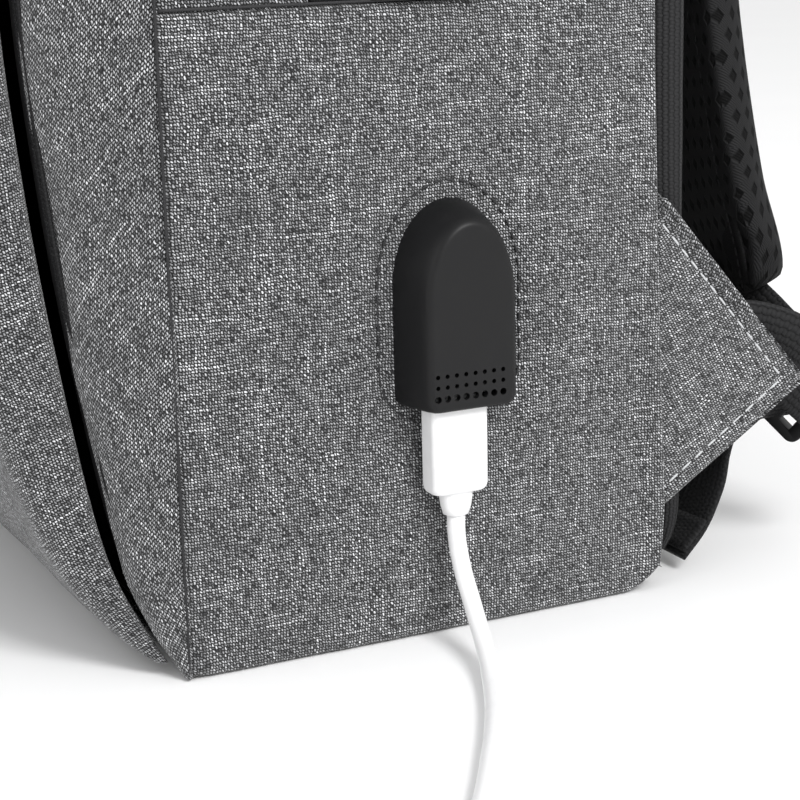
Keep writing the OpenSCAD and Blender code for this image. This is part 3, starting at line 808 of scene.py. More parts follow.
def make_plug():
    """The plug's moulding: a flat box with soft edges, and a short tapered neck."""
    x, y = (PLUG_LOW.x + PLUG_HIGH.x) / 2, (PLUG_LOW.y + PLUG_HIGH.y) / 2
    w, t = PLUG_HIGH.y - PLUG_LOW.y, PLUG_HIGH.x - PLUG_LOW.x
    low, top = PLUG_LOW.z, PLUG_HIGH.z
    body = low + 6
    levels = [
        (low, 4.9, 4.9, 2.4), (low + 0.3, 5.2, 6.4, 2.5), (low + 2.4, 5.4, 7.4, 2.2),
        (low + 4.9, 5.6, 8.0, 2.2), (body - 0.1, 5.8, 8.4, 2.2), (body, 6.2, 13.0, 2.0),
        (body + 0.3, 6.8, 14.1, 2.0),
        (body + 0.9, t - 0.25, w - 0.3, 1.9), (body + 1.8, t, w, 1.7), (body + 12, t, w, 1.6),
        (top - 0.6, t, w, 1.6), (top - 0.15, t - 0.3, w - 0.3, 1.5), (top, t - 0.9, w - 0.9, 1.2),
    ]
    moulding = stacked("plug_moulding", (x, y), levels)
    return finish_piece(moulding, "white_plastic", "plug_body", "usb_plug_overmould")


plug = make_plug()


def make_far_plug():
    """The connector on the lead's other end, lying beside the coil."""
    levels = [
        (0, 4.6, 4.6, 2.2), (0.6, 5.6, 5.6, 2.7), (6.2, 5.8, 5.8, 2.8), (7, 6.2, 5.6, 2.7),
        (7.3, 9.6, 5.6, 2.4), (8.2, 10.7, 5.9, 2.2), (10, 11, 6, 2.1), (25, 11, 6, 2.1),
        (26.4, 10.6, 5.7, 2.1), (27, 9.2, 4.6, 1.9),
    ]
    tip_levels = [(26.8, 8.4, 2.6, 1.2), (33, 8.4, 2.6, 1.2), (33.5, 8.0, 2.2, 1.0)]
    body = stacked("far_plug_moulding", (0, 0), levels, "x")
    tip = stacked("far_plug_tip", (0, 0.1), tip_levels, "x")
    place = Matrix.Translation(Vector((303.4, -85.1, 3.0)) * MM) @ Matrix.Rotation(math.radians(-40), 4, "Z")
    for obj in (body, tip):
        obj.data.transform(place)
    finish_piece(body, "white_plastic", "root", "far_plug")
    finish_piece(tip, "nickel", "root")
    return body, tip


far_plug, far_tip = make_far_plug()


# ---- cloth panels of the bag ----


def edge_profile(low, high, step):
    """Places across a sewn panel and how far it turns in at each: dense at both seams."""
    near = [(0.42, 3.0), (0.4, 1.5), (0.55, 0.8), (0.9, 0.36), (1.4, 0.12), (2.0, 0.03)]
    middle = [(d, 0.0) for d in np.arange(2.9, (high - low) / 2, step)]
    half = near + middle
    first = [(low + d, t) for d, t in half]
    last = [(high - d, t) for d, t in reversed(half)]
    return np.array(first + last)


def port_outline(grow):
    """The port housing's outline in the side view, grown by a distance."""
    w = PORT_HIGH.y - PORT_LOW.y
    h = PORT_HIGH.z - PORT_LOW.z
    y = (PORT_HIGH.y + PORT_LOW.y) / 2
    straight = h * 0.58
    side, rise = w / 2 + grow, h - straight + grow
    points = []
    for a in np.linspace(0, math.pi, 25):
        points.append((y + math.cos(a) * side, PORT_LOW.z + straight + math.sin(a) * rise))
    low_r = 9.0 + grow
    base = PORT_LOW.z - grow - 0.5
    for a in np.linspace(math.pi, 1.5 * math.pi, 9):
        points.append((y - side + low_r + math.cos(a) * low_r, base + low_r + math.sin(a) * low_r))
    for a in np.linspace(1.5 * math.pi, 2 * math.pi, 9):
        points.append((y + side - low_r + math.cos(a) * low_r, base + low_r + math.sin(a) * low_r))
    points.append(points[0])
    return np.array(points)


def distance_to(line, y, z):
    """Distance from points in the side view to a closed line."""
    best = np.full(y.shape, 1e9)
    for a, b in zip(line[:-1], line[1:]):
        d = b - a
        t = np.clip(((y - a[0]) * d[0] + (z - a[1]) * d[1]) / max(d @ d, 1e-9), 0, 1)
        best = np.minimum(best, np.hypot(y - a[0] - t * d[0], z - a[1] - t * d[1]))
    return best


STITCH_GROW = 4.2


rear_lean = smooth_through([[0, 1.6], [12, 2.9], [25, 3.4], [45, 2.7], [85, 1.6], [130, 0.5], [160, 0]])


def rear_foot(y):
    """How far the panels' rear corners are lifted from the floor."""
    return 7.0 * np.clip((y - BACK + 9) / 9, 0, 1) ** 2


def lower_panel(name, ported):
    """The side panel below the pocket zip: slack, with turned seams, rounded at the rear foot."""
    ys = edge_profile(FRONT, BACK, 1.5)
    zs = edge_profile(0.0, SEAM_Z, 1.5)
    y, turn_y = np.meshgrid(ys[:, 0], zs[:, 0])[0], np.meshgrid(ys[:, 1], zs[:, 1])[0]
    z, turn_z = np.meshgrid(ys[:, 0], zs[:, 0])[1], np.meshgrid(ys[:, 1], zs[:, 1])[1]
    rear = np.clip((y - BACK + 6) / 6, 0, 1)
    z = z + (rear_foot(y) + 0.9 * np.clip((FRONT + 8 - y) / 8, 0, 1) ** 2) * np.clip(1 - z / 60, 0, 1) ** 2
    y = y + rear_lean(z) * np.clip((y - BACK + 30) / 30, 0, 1) ** 1.5
    across, up = np.clip((y - FRONT) / (BACK - FRONT), 0, 1), np.clip(z / SEAM_Z, 0, 1)
    bulge = 1.3 * np.sin(math.pi * across) ** 0.7 * np.sin(math.pi * up) ** 0.6
    p = np.stack([np.full(y.shape, HALF_W), y, z], axis=-1)
    bulge = bulge + rough(p, 46, 0.7, 3.1) * np.sin(math.pi * across) ** 0.5 + rough(p, 15, 0.22, 8.0)
    if ported:
        near = distance_to(port_outline(STITCH_GROW), y, z)
        bulge = bulge - 0.45 * np.exp(-((near / 1.1) ** 2))
        flat = np.clip(distance_to(port_outline(0), y, z) / 12, 0, 1)
        bulge = bulge * (0.35 + 0.65 * flat)
    turn_y = turn_y * (1 - 0.8 * rear)
    bulge = bulge + 0.45 * rear_lean(z) * rear**0.5
    p[..., 0] = HALF_W + bulge - np.maximum(turn_y, turn_z) - 0.25
    uv = np.stack([y, z], axis=-1)
    return sheet_mesh(name, p, 1.2, uv, outward=-1)


finish_piece(lower_panel("lower_panel_right", True), "melange", "root", "side_panel_right")
panel_left = mirror_piece(lower_panel("plain_panel", False), "lower_panel_left")
bpy.data.objects.remove(bpy.data.objects["plain_panel"])
finish_piece(panel_left, "melange", "root", "side_panel_left")


def over_line(inset, z0, step):
    """The bag's outline in the front view, from the right side at z0 over the top to the left side."""
    r = TOP_R - inset
    cx = HALF_W - TOP_R
    right = [(HALF_W - inset, z) for z in np.linspace(z0, CORNER_Z, 60)[:-1]]
    arc = [(cx + r * math.cos(a), CORNER_Z + r * math.sin(a)) for a in np.linspace(0, math.pi / 2, 24)]
    half = np.array(right + arc)
    other = half[::-1] * np.array([-1, 1])
    return even(np.concatenate([half, other]), step)


def upper_shell():
    """One strip of cloth from pocket zip to pocket zip over the top, sagging a little on top."""
    line = over_line(0, SEAM_Z + ZIP_HIGH.z - ZIP_LOW.z + 1.6, 3.0)
    ys = edge_profile(FRONT, BACK, 3.0)
    d = np.gradient(line, axis=0)
    d /= np.linalg.norm(d, axis=1, keepdims=True)
    out = np.stack([d[:, 1], np.zeros(len(line)), -d[:, 0]], axis=-1)
    p = grid(line[:, None, 0], ys[None, :, 0], line[:, None, 1])
    across = (ys[:, 0] - FRONT) / (BACK - FRONT)
    fall = np.sin(math.pi * across)[None, :] ** 0.8
    slack = rough(p, 60, 1.6, 5.0) * fall + rough(p, 18, 0.35, 2.0) + 1.0 * fall
    end = np.zeros(len(line))
    end[0] = end[-1] = 2.4
    end[1] = end[-2] = 0.2
    depth = slack - np.maximum(ys[None, :, 1], end[:, None]) - 0.25
    p = p + out[:, None, :] * depth[..., None]
    return sheet_mesh("upper_shell", p, 1.2, outward=-1)


finish_piece(upper_shell(), "melange", "root", "top_panel")


def zip_surround():
    """Cloth that closes the gap beside the pocket zip, in front of it and behind it."""
    pieces = []
    z0, z1 = SEAM_Z - 1.2, ZIP_HIGH.z + 2.0
    for y0, y1 in ((FRONT + 0.3, ZIP_LOW.y - 0.2), (ZIP_HIGH.y + 0.2, BACK - 0.3)):
        ys = edge_profile(y0, y1, 2.0)
        zs = np.linspace(z0, z1, 8)
        p = grid(HALF_W - 1.5 - ys[None, :, 1] * 0.5, ys[None, :, 0], zs[:, None])
        pieces.append(sheet_mesh(f"zip_end_{len(pieces)}", p, 1.0, p[..., 1:], outward=-1))
    return pieces


def join(name, pieces):
    """Joins pieces into one mesh object."""
    bm = bmesh.new()
    for piece in pieces:
        bm.from_mesh(piece.data)
    mesh = pieces[0].data.copy()
    bm.to_mesh(mesh)
    bm.free()
    for piece in pieces:
        bpy.data.objects.remove(piece)
    obj = bpy.data.objects.new(name, mesh)
    bpy.context.scene.collection.objects.link(obj)
    return obj


zip_ends_right = join("zip_ends_right", zip_surround())
zip_ends_left = mirror_piece(zip_ends_right, "zip_ends_left")
finish_piece(zip_ends_right, "melange", "root")
finish_piece(zip_ends_left, "melange", "root")


def rim_stations(count):
    """Places round the front rim: seam point, inward direction and reach, right foot to left foot."""
    z = np.linspace(0.8, CORNER_Z, count)
    side = [((HALF_W, v), (-1.0, 0.0), float(rim(v))) for v in z]
    arc = []
    for a in np.linspace(0, math.pi / 2, 20)[1:]:
        c, s = math.cos(a), math.sin(a)
        arc.append(((HALF_W - TOP_R + TOP_R * c, CORNER_Z + TOP_R * s), (-c, -s), RIM_REACH))
    top = [((x, TOP_Z), (0.0, -1.0), RIM_REACH) for x in np.linspace(HALF_W - TOP_R, 0, 22)[1:]]
    half = side + arc + top
    other = [((-x, v), (-i, k), r) for (x, v), (i, k), r in reversed(half[:-1])]
    return half + other


def rim_strip():
    """The slanting strip between the side seam and the main zip, hemmed along the zip."""
    stations = rim_stations(110)
    profile = [(-3.0, 0.45), (-1.5, 0.4), (-0.8, 0.55), (-0.36, 0.9), (-0.12, 1.4)]
    rows = []
    for (x, z), (ix, iz), reach in stations:
        inward = np.array([ix, 0, iz])
        along = (inward + np.array([0, -1, 0])) / math.sqrt(2)
        normal = (-inward + np.array([0, -1, 0])) / math.sqrt(2)
        width = reach * math.sqrt(2)
        curl = 2.6 * min(1, width / 25)
        width += 1.2 * min(1, width / 12)
        seam = np.array([x, FRONT, z])
        row = [seam + normal * d + along * min(s, width * 0.3) for d, s in profile]
        for t in np.linspace(0.08, 0.94, 18):
            lift = 0.9 * math.sin(math.pi * t) ** 0.8 * min(1, width / 20)
            lift -= curl * max(0, (t - 0.62) / 0.32) ** 2
            row.append(seam + along * (width * t) + normal * lift)
        for a in np.linspace(0.3, math.pi, 7):
            tip = along * (width * 0.94 + 1.3 * math.sin(a)) - normal * (1.3 * (1 - math.cos(a)) + curl)
            row.append(seam + tip)
        row.append(seam + along * max(width - 7, width * 0.5) - normal * (2.8 + curl))
        rows.append(row)
    p = np.array(rows)
    p = p + grid_normals(p) * (rough(p, 34, 1.3, 1.0) + rough(p, 11, 0.3, 4.0))[..., None]
    uv = arc_uv(p) @ np.array([[0.77, 0.64], [-0.64, 0.77]])
    return sheet_mesh("rim_strip", p, 0.7, uv)


finish_piece(rim_strip(), "melange", "root", "front_gusset")


def lined(p, name, uv=None, outward=1, thick=0.6):
    """A thin sheet of lining inside the bag."""
    return finish_piece(sheet_mesh(name, p, thick, uv, outward), "lining", "root")


def bag_lining():
    """Lining: a wrap round the inside, the floor and the back."""
    line = over_line(WALL + 1.5, WALL + 2.5, 9.0)
    ys = np.linspace(FRONT + 2.5, BACK - 2.5, 18)
    wrap = grid(line[:, None, 0], ys[None, :], line[:, None, 1])
    lined(wrap + rough(wrap, 50, 0.5, 7.0)[..., None] * [1, 0, 1], "lining_wrap")
    xs = np.linspace(-HALF_W + WALL + 3, HALF_W - WALL - 3, 50)
    floor = grid(xs[None, :], ys[:, None], WALL + 1.0)
    floor[..., 2] += 0.5 + rough(floor, 40, 0.4, 3.0)
    floor[..., 2] += rear_foot(floor[..., 1]) * np.clip((np.abs(floor[..., 0]) - HALF_W + 25) / 20, 0, 1) ** 2
    lined(floor, "lining_floor")
    zs = np.linspace(WALL + 2, TOP_Z - WALL - 2.2, 70)
    half = np.array([outline_half(z) - WALL - 3.2 - 6 * max(0, 1 - z / 12) ** 2 for z in zs])
    back = grid(half[:, None] * np.linspace(-1, 1, 50)[None, :], BACK - 0.9, zs[:, None])
    back[..., 1] -= 0.4 + rough(back, 60, 0.5, 1.0)
    lined(back, "lining_back")


def outline_half(z):
    """Half width of the bag's front view outline at a height."""
    if z <= CORNER_Z:
        return HALF_W
    return HALF_W - TOP_R + math.sqrt(max(TOP_R**2 - (z - CORNER_Z) ** 2, 0))


bag_lining()


def under_cloth():
    """The bag's underside, slack between its four seams."""
    xs = edge_profile(-HALF_W + WALL, HALF_W - WALL, 6.0)
    ys = edge_profile(FRONT, BACK, 6.0)
    p = grid(xs[None, :, 0], ys[:, None, 0], 0.3)
    p[..., 2] += np.maximum(xs[None, :, 1], ys[:, None, 1]) * 0.7 + 0.5 + rough(p, 30, 0.4, 2.0)
    p[..., 2] += rear_foot(p[..., 1]) * np.clip((np.abs(p[..., 0]) - HALF_W + 25) / 24, 0, 1) ** 2
    return sheet_mesh("under_cloth", p, 1.2, p[..., :2])


finish_piece(under_cloth(), "melange", "root", "bottom_panel")


def back_sheet():
    """The back panel's spacer mesh, inside the binding."""
    low, high = node_box("back_panel")
    zs = np.linspace(low.z + 0.2, high.z - 0.2, 90)
    half = np.array([outline_half(z + 7) - 7.2 if z > CORNER_Z - 7 else HALF_W - 7.2 for z in zs])
    half = np.minimum(half, HALF_W - 7.2) - 9 * np.clip(1 - zs / 15, 0, 1) ** 2
    p = grid(half[:, None] * np.linspace(1, -1, 60)[None, :], high.y - 0.2, zs[:, None])
    p[..., 1] += rough(p, 60, 0.8, 4.0)
    return sheet_mesh("back_mesh", p, 7.0, outward=-1)


finish_piece(face_out(back_sheet()), "mesh", "root", "back_panel")


def over_frames(inset, z0, step):
    """Points along the bag's outline and the outward direction at each."""
    line = over_line(inset, z0, step)
    d = np.gradient(line, axis=0)
    d /= np.linalg.norm(d, axis=1, keepdims=True)
    return line, np.stack([d[:, 1], -d[:, 0]], axis=1)


def knit_binding():
    """Ribbed knit that wraps the back's edge, from foot to foot."""
    line, out = over_frames(1.5, 9.0, 4.0)
    base, deep = 64.15, 9.9
    section = [
        (-5.4, base), (-3.4, base), (-2.2, 64.5), (-1.7, 65.6), (-0.9, 67.2), (-0.1, 69.4), (-0.2, 72.2),
        (-1.2, 73.6), (-2.8, 74.05), (-4.3, 73.7), (-5.2, 72.8), (-5.4, 70.5),
    ]
    n = len(section)
    rings = np.zeros((len(line), n, 3))
    for k, (o, y) in enumerate(section):
        rings[:, k, 0] = line[:, 0] + out[:, 0] * o
        rings[:, k, 1] = y
        rings[:, k, 2] = line[:, 1] + out[:, 1] * o
    foot = np.clip((18 - rings[..., 2]) / 9, 0, 1) ** 2
    rings[..., 0] -= np.sign(rings[..., 0]) * foot * 3.0
    lean = rear_lean(rings[..., 2]) - 0.4
    slim = 1 - 0.45 * np.clip((60 - rings[..., 2]) / 50, 0, 1) ** 1.4
    slim = np.minimum(slim, (deep - lean) / deep)
    rings[..., 1] = base + np.maximum(lean, 0) + (rings[..., 1] - base) * slim
    wave = rough(rings, 14, 0.35, 6.0)
    rings[..., 0] += wave * out[:, None, 0]
    rings[..., 2] = np.maximum(rings[..., 2] + wave * out[:, None, 1], 0.3)
    lengths = np.concatenate([[0], np.cumsum(np.hypot(*np.diff(line, axis=0).T))])
    across = np.concatenate([[0], np.cumsum(np.hypot(*np.diff(np.array(section), axis=0).T))])
    uv = np.stack(np.broadcast_arrays(across[None, :], lengths[:, None]), axis=-1)
    return loft_mesh("knit_binding", rings, uv)


finish_piece(knit_binding(), "binding", "root", "back_binding")


def seam_shadow_lines():
    """Painted shadow in the valleys of the bag's seams: thin dark tubes laid where the seam valleys are in
    shade.
    """
    line = over_line(0.45, 1.5, 2.0)
    front = np.stack([line[:, 0], np.full(len(line), FRONT - 0.12), line[:, 1]], axis=1)
    pieces = [loft_mesh("seam_front", tube_rings(front, 0.36, 6))]
    for sign in (1, -1):
        y = np.linspace(FRONT + 0.6, BACK - 0.6, 60)
        path = np.stack([np.full(60, sign * (HALF_W - 0.55)), y, np.full(60, SEAM_Z + 0.2)], axis=1)
        pieces.append(loft_mesh(f"seam_across_{sign}", tube_rings(path, 0.4, 6)))
    return join("seam_threads", pieces)


# Painted shadow: dark tubes along the seam valleys stand in for the shade there.
finish_piece(seam_shadow_lines(), "dark_thread", "root")


# ---- padded pieces ----


def puff(obj, held, pressure=4.0, reach=2.5):
    """Fills a closed padded piece by a short cloth simulation, moving no point further than its reach."""
    mesh = obj.data
    rest = np.array([v.co for v in mesh.vertices])
    group = obj.vertex_groups.new(name="held")
    for k, v in enumerate(rest / MM):
        if held(v):
            group.add([k], 1.0, "REPLACE")
    cloth = obj.modifiers.new("fill", "CLOTH")
    settings = cloth.settings
    settings.quality = 5
    settings.mass = 0.3
    settings.tension_stiffness = 12
    settings.compression_stiffness = 9
    settings.bending_stiffness = 0.6
    settings.use_pressure = True
    settings.uniform_pressure_force = pressure
    settings.shrink_min = -0.02
    settings.effector_weights.gravity = 0
    settings.vertex_group_mass = "held"
    cloth.point_cache.frame_start = 1
    cloth.point_cache.frame_end = 20
    cloth.collision_settings.use_collision = False
    scene = bpy.context.scene
    for f in range(1, 21):
        scene.frame_set(f)
    graph = bpy.context.evaluated_depsgraph_get()
    moved = obj.evaluated_get(graph).to_mesh()
    co = np.array([v.co for v in moved.vertices])
    obj.evaluated_get(graph).to_mesh_clear()
    obj.modifiers.clear()
    obj.vertex_groups.clear()
    scene.frame_set(1)
    d = co - rest
    far = np.linalg.norm(d, axis=1, keepdims=True)
    d *= np.minimum(1, reach * MM / np.maximum(far, 1e-9))
    mesh.vertices.foreach_set("co", (rest + d).ravel())
    mesh.update()
    smooth = obj.modifiers.new("smooth", "SUBSURF")
    smooth.levels = smooth.render_levels = 1
    return bake_modifiers(obj)


def back_pad(name, x, z, w, h, t=9.0):
    """A foam pad sewn down at its edge, with round corners: grids for its face and its base."""
    low = BACK + 8.1
    rings = []
    profile = [
        (0.3, low), (0.0, low + 0.8), (0.0, low + t * 0.45), (1.2, low + t * 0.75), (3.2, low + t * 0.92),
        (7, low + t),
    ]
    for inset, y in profile:
        ring = rounded_section(w - 2 * inset, h - 2 * inset, 14 - inset * 0.6, 7)
        ring = even([(a, b) for a, b in ring + ring[:1]], 6.0)[:-1]
        rings.append([(x + a, y, z + b) for a, b in ring])
    count = min(len(r) for r in rings)
    rings = [even(np.array(r + r[:1]), 1.0) for r in rings]
    at = np.linspace(0, 1, count, endpoint=False)
    rings = [at_shares(r, at) for r in rings]
    face = rings[-1]
    for share in (0.78, 0.56, 0.34, 0.14):
        across, up = x + (face[:, 0] - x) * share, z + (face[:, 2] - z) * share
        rings.append(np.stack([across, face[:, 1] + 0.3, up], axis=1))
    rings = np.array(rings)
    uv = np.stack([rings[..., 0] + rings[..., 1], rings[..., 2] + rings[..., 1]], axis=-1)
    return loft_mesh(name, rings, uv)


for name, x, z, w, h, node in (
    ("back_pad_right", 66, 272, 96, 236, "back_pad_right"),
    ("back_pad_left", -66, 272, 96, 236, "back_pad_left"),
    ("lumbar_pad", 0, 92, 228, 96, "lumbar_pad"),
):
    pad = back_pad(f"{name}_foam", x, z, w, h)
    puff(pad, lambda v: v[1] < BACK + 10, 3.0, 1.2)
    finish_piece(pad, "mesh", "root", node)


# ---- straps ----


def ribbon_rings(path, wide, widths, section):
    """Rings of a strip along a path: section points are (across, out), across in half widths."""
    path = np.asarray(path, float)
    tangent = np.gradient(path, axis=0)
    tangent /= np.linalg.norm(tangent, axis=1, keepdims=True)
    side = np.asarray(wide, float) * np.ones((len(path), 1))
    side -= tangent * np.sum(side * tangent, axis=1, keepdims=True)
    side /= np.linalg.norm(side, axis=1, keepdims=True)
    normal = np.cross(tangent, side)
    half = (np.ones(len(path)) * widths) / 2
    rings = np.zeros((len(path), len(section), 3))
    for k, (a, o) in enumerate(section):
        rings[:, k] = path + side * (half * a)[:, None] + normal * o
    lengths = np.concatenate([[0], np.cumsum(np.linalg.norm(np.diff(path, axis=0), axis=1))])
    across = np.array([a for a, _ in section])
    uv = np.zeros((len(path), len(section), 2))
    uv[..., 0] = across[None, :] * half[:, None] + np.array([o for _, o in section])[None, :]
    uv[..., 1] = lengths[:, None]
    return rings, uv, lengths


def resample(path, *others, step):
    """Spaces a path's points evenly, and the values that go with them."""
    columns = [np.asarray(c, float).reshape(len(path), -1) for c in (path, *others)]
    smooth = smooth_rows(np.concatenate(columns, axis=1), 16)
    length = np.concatenate([[0], np.cumsum(np.linalg.norm(np.diff(smooth[:, :3], axis=0), axis=1))])
    at = np.linspace(0, length[-1], int(round(length[-1] / step)) + 1)
    return np.stack([np.interp(at, length, smooth[:, k]) for k in range(smooth.shape[1])], axis=1)


STRAP_PATH = [
    [52, 83, 430], [53, 85.5, 416], [56, 91, 400], [61, 99, 372], [67, 106, 335], [74, 110, 290],
    [80, 109.5, 245], [84.5, 106.5, 205], [87, 105.5, 175], [88, 107, 148], [90.5, 110, 122],
    [94, 113.5, 100], [98, 117, 84], [100, 119.5, 74], [101.5, 122.5, 66],
]
STRAP_WIDE = [[1, 0, 0]] * len(STRAP_PATH)
STRAP_WIDTHS = [48, 54, 60, 65, 65, 65, 65, 65, 65, 64, 63, 60, 55, 51, 42]


def pad_section(thick, edge=0.12, n=7):
    """A padded strip's section, fuller in the middle, with a rounded edge."""
    points = []
    for a in np.linspace(-math.pi / 2, math.pi / 2, n):
        points.append((1 - edge + edge * math.cos(a), thick / 2 * math.sin(a)))
    for a in np.linspace(0.8, -0.8, 9)[1:-1]:
        points.append((a, thick / 2))
    for a in np.linspace(math.pi / 2, 1.5 * math.pi, n):
        points.append((-(1 - edge) + edge * math.cos(a), thick / 2 * math.sin(a)))
    for a in np.linspace(-0.8, 0.8, 9)[1:-1]:
        points.append((a, -thick / 2))
    return points


def make_strap():
    """The right shoulder strap: a padded mesh body with a plain cloth face and edge stitching."""
    way = resample(STRAP_PATH, STRAP_WIDE, STRAP_WIDTHS, step=4.5)
    path, wide, widths = way[:, :3], way[:, 3:6], way[:, 6]
    widths[-1] -= 4
    rings, uv, _ = ribbon_rings(path, wide, widths, pad_section(11.6))
    body = loft_mesh("strap_body", rings, uv)
    puff(body, lambda v: v[2] > 415 or v[2] < 72, 2.0, 0.8)

    def plain_face(sign):
        """The cloth on one face of the body, a little short of its ends."""
        section = [(a, sign * 6.25) for a in np.linspace(sign * -0.84, sign * 0.84, 16)]
        return ribbon_rings(path[1:-1], wide[1:-1], widths[1:-1], section)[:2]

    face, face_uv = plain_face(1)
    if face[:, :, 1].mean() >= path[1:-1, 1].mean():
        face, face_uv = plain_face(-1)
    face = face + rough(face, 20, 0.3, 9.0)[..., None] * [0, 1, 0]
    cloth = face_out(sheet_mesh("strap_face", face, 0.9, face_uv))
    edges = [face[:, 1] + [0, -0.25, 0], face[:, -2] + [0, -0.25, 0]]
    edges = [even(e, 1.0) for e in edges]
    return body, cloth, edges


def pair(make, name, material_name, body, node=None):
    """A right-hand piece and its mirror image, each on its own side's body."""
    right = make
    left = mirror_piece(right, f"{name}_left")
    right.name = f"{name}_right"
    for obj, side in ((right, "right"), (left, "left")):
        where = body.replace("SIDE", side) if isinstance(body, str) else body(side)
        nodes = [node.replace("SIDE", side)] if node else []
        finish_piece(obj, material_name, where, *nodes)
    return right, left


def stitch_pair(name, lines, body, finish="dark_thread", length=2.6, gap=1.0, radius=0.28):
    """Stitching on both sides of the bag."""
    for side, sign in (("right", 1), ("left", -1)):
        both = [np.asarray(line) * [sign, 1, 1] for line in lines]
        stitches(f"{name}_{side}", both, body.replace("SIDE", side), finish, length, gap, radius)


strap_body, strap_face, strap_edges = make_strap()
for obj in pair(strap_body, "strap_foam", "mesh", "strap_SIDE_body", "shoulder_strap_SIDE"):
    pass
pair(strap_face, "strap_cloth", "lining", "strap_SIDE_body")
stitch_pair("strap_stitches", strap_edges, "strap_SIDE_body", length=2.4, gap=0.9, radius=0.22)


def strip_piece(name, path, wide, width, thick, step=2.0, wave=0.3):
    """Webbing: a flat ribbed strip with round edges."""
    way = resample(path, wide, step=step)
    half, edge = thick / 2, thick * 0.22
    section = [
        (1, -edge), (1, edge), (0.94, half), (0.5, half), (0, half), (-0.5, half), (-0.94, half),
        (-1, edge), (-1, -edge), (-0.94, -half), (-0.5, -half), (0, -half), (0.5, -half), (0.94, -half),
    ]
    rings, uv, _ = ribbon_rings(way[:, :3], way[:, 3:6], width, section)
    rings = rings + (rough(way[:, :3], 9, wave, 3.0)[:, None, None]) * np.array([0.3, 1, 0.3])
    return loft_mesh(name, rings, uv)


LOCK_WIDE = [0.553, 0.331, 0.764]
WEB_PATH = [
    [131.5, 131.8, 39.3], [135.3, 134.1, 35.6], [139.8, 133.2, 36], [143.4, 128.5, 40.5], [144.6, 122, 47],
    [144.3, 115, 52.5], [143.6, 107, 57.8], [143, 98, 60.5], [144.2, 90, 61], [144.6, 84, 61],
]
WEB_WIDE = [
    LOCK_WIDE, LOCK_WIDE, [0.35, 0.2, 0.91], [0.15, 0.1, 0.98], [0.22, 0, 0.97], [0.35, 0, 0.93],
    [0.38, 0, 0.92], [0.2, 0, 0.98], [0, 0, 1], [0, 0, 1],
]
TAIL_PATH = [
    [128.9, 125.8, 42], [127.5, 118, 40.5], [125.5, 109, 38], [126, 101, 33.5], [127.5, 96, 27],
    [129, 92, 19], [129.5, 86.5, 10], [129.5, 79.5, 3.6],
]
TAIL_WIDE = [
    [0.62, 0.2, 0.75], [0.7, 0.1, 0.7], [0.8, 0, 0.6], [0.85, 0, 0.5], [0.92, 0, 0.35], [0.97, 0, 0.2],
    [1, 0, 0.1], [1, 0, 0],
]
TAB_PATH = [[101, 111.8, 77], [105, 113.4, 68.5], [111, 118, 61], [119.6, 124.7, 50.9], [122.2, 126.1, 48.4]]
TAB_WIDE = [[0.7, 0.1, 0.7], [0.6, 0.25, 0.75], LOCK_WIDE, LOCK_WIDE, LOCK_WIDE]

pair(
    strip_piece("webbing", WEB_PATH, WEB_WIDE, 24.4, 1.9, 2.0), "strap_webbing", "webbing",
    lambda side: (
        "root", f"strap_{side}_body",
        (143 if side == "right" else -143, 100, 60), (135.3 if side == "right" else -135.3, 134, 36),
    ),
    "webbing_SIDE",
)
pair(
    strip_piece("tail", TAIL_PATH, TAIL_WIDE, 24.4, 1.9, 2.0), "webbing_end", "webbing", "strap_SIDE_body",
    "webbing_tail_SIDE",
)
pair(strip_piece("tab", TAB_PATH, TAB_WIDE, 24.4, 1.9, 1.5), "lock_tab", "webbing", "strap_SIDE_body")


def turned_hem():
    """The webbing end's folded hem, thicker over its last centimetre."""
    way = resample(TAIL_PATH, TAIL_WIDE, step=2.0)[-6:]
    way[:, 1] += 0.2
    way[:, 2] += 1.9
    rings, uv, _ = ribbon_rings(way[:, :3], way[:, 3:6], 24.0, pad_section(1.6, 0.06, 5))
    return loft_mesh("tail_hem", rings, uv)


pair(turned_hem(), "webbing_hem", "webbing", "strap_SIDE_body")


# ---- hard parts, from the CAD meshes ----


def hard(node, material_name, body, bevel=0.3, name=None):
    """A hard part: the CAD shape with its edges rounded."""
    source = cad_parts[node]
    mesh = source.data.copy()
    mesh.transform(source.matrix_world)
    obj = bpy.data.objects.new(name or f"{node}_finish", mesh)
    bpy.context.scene.collection.objects.link(obj)
    bm = bmesh.new()
    bm.from_mesh(mesh)
    bmesh.ops.remove_doubles(bm, verts=bm.verts, dist=1e-6)
    bmesh.ops.dissolve_limit(bm, angle_limit=0.02, verts=bm.verts, edges=bm.edges)
    bm.to_mesh(mesh)
    bm.free()
    change = obj.modifiers.new("edges", "BEVEL")
    change.width = bevel * MM
    change.segments = 2
    change.limit_method = "ANGLE"
    change.angle_limit = math.radians(35)
    change.use_clamp_overlap = True
    bake_modifiers(obj)
    for p in obj.data.polygons:
        p.use_smooth = True
    obj.data.set_sharp_from_angle(angle=math.radians(40))
    return finish_piece(obj, material_name, body, node)


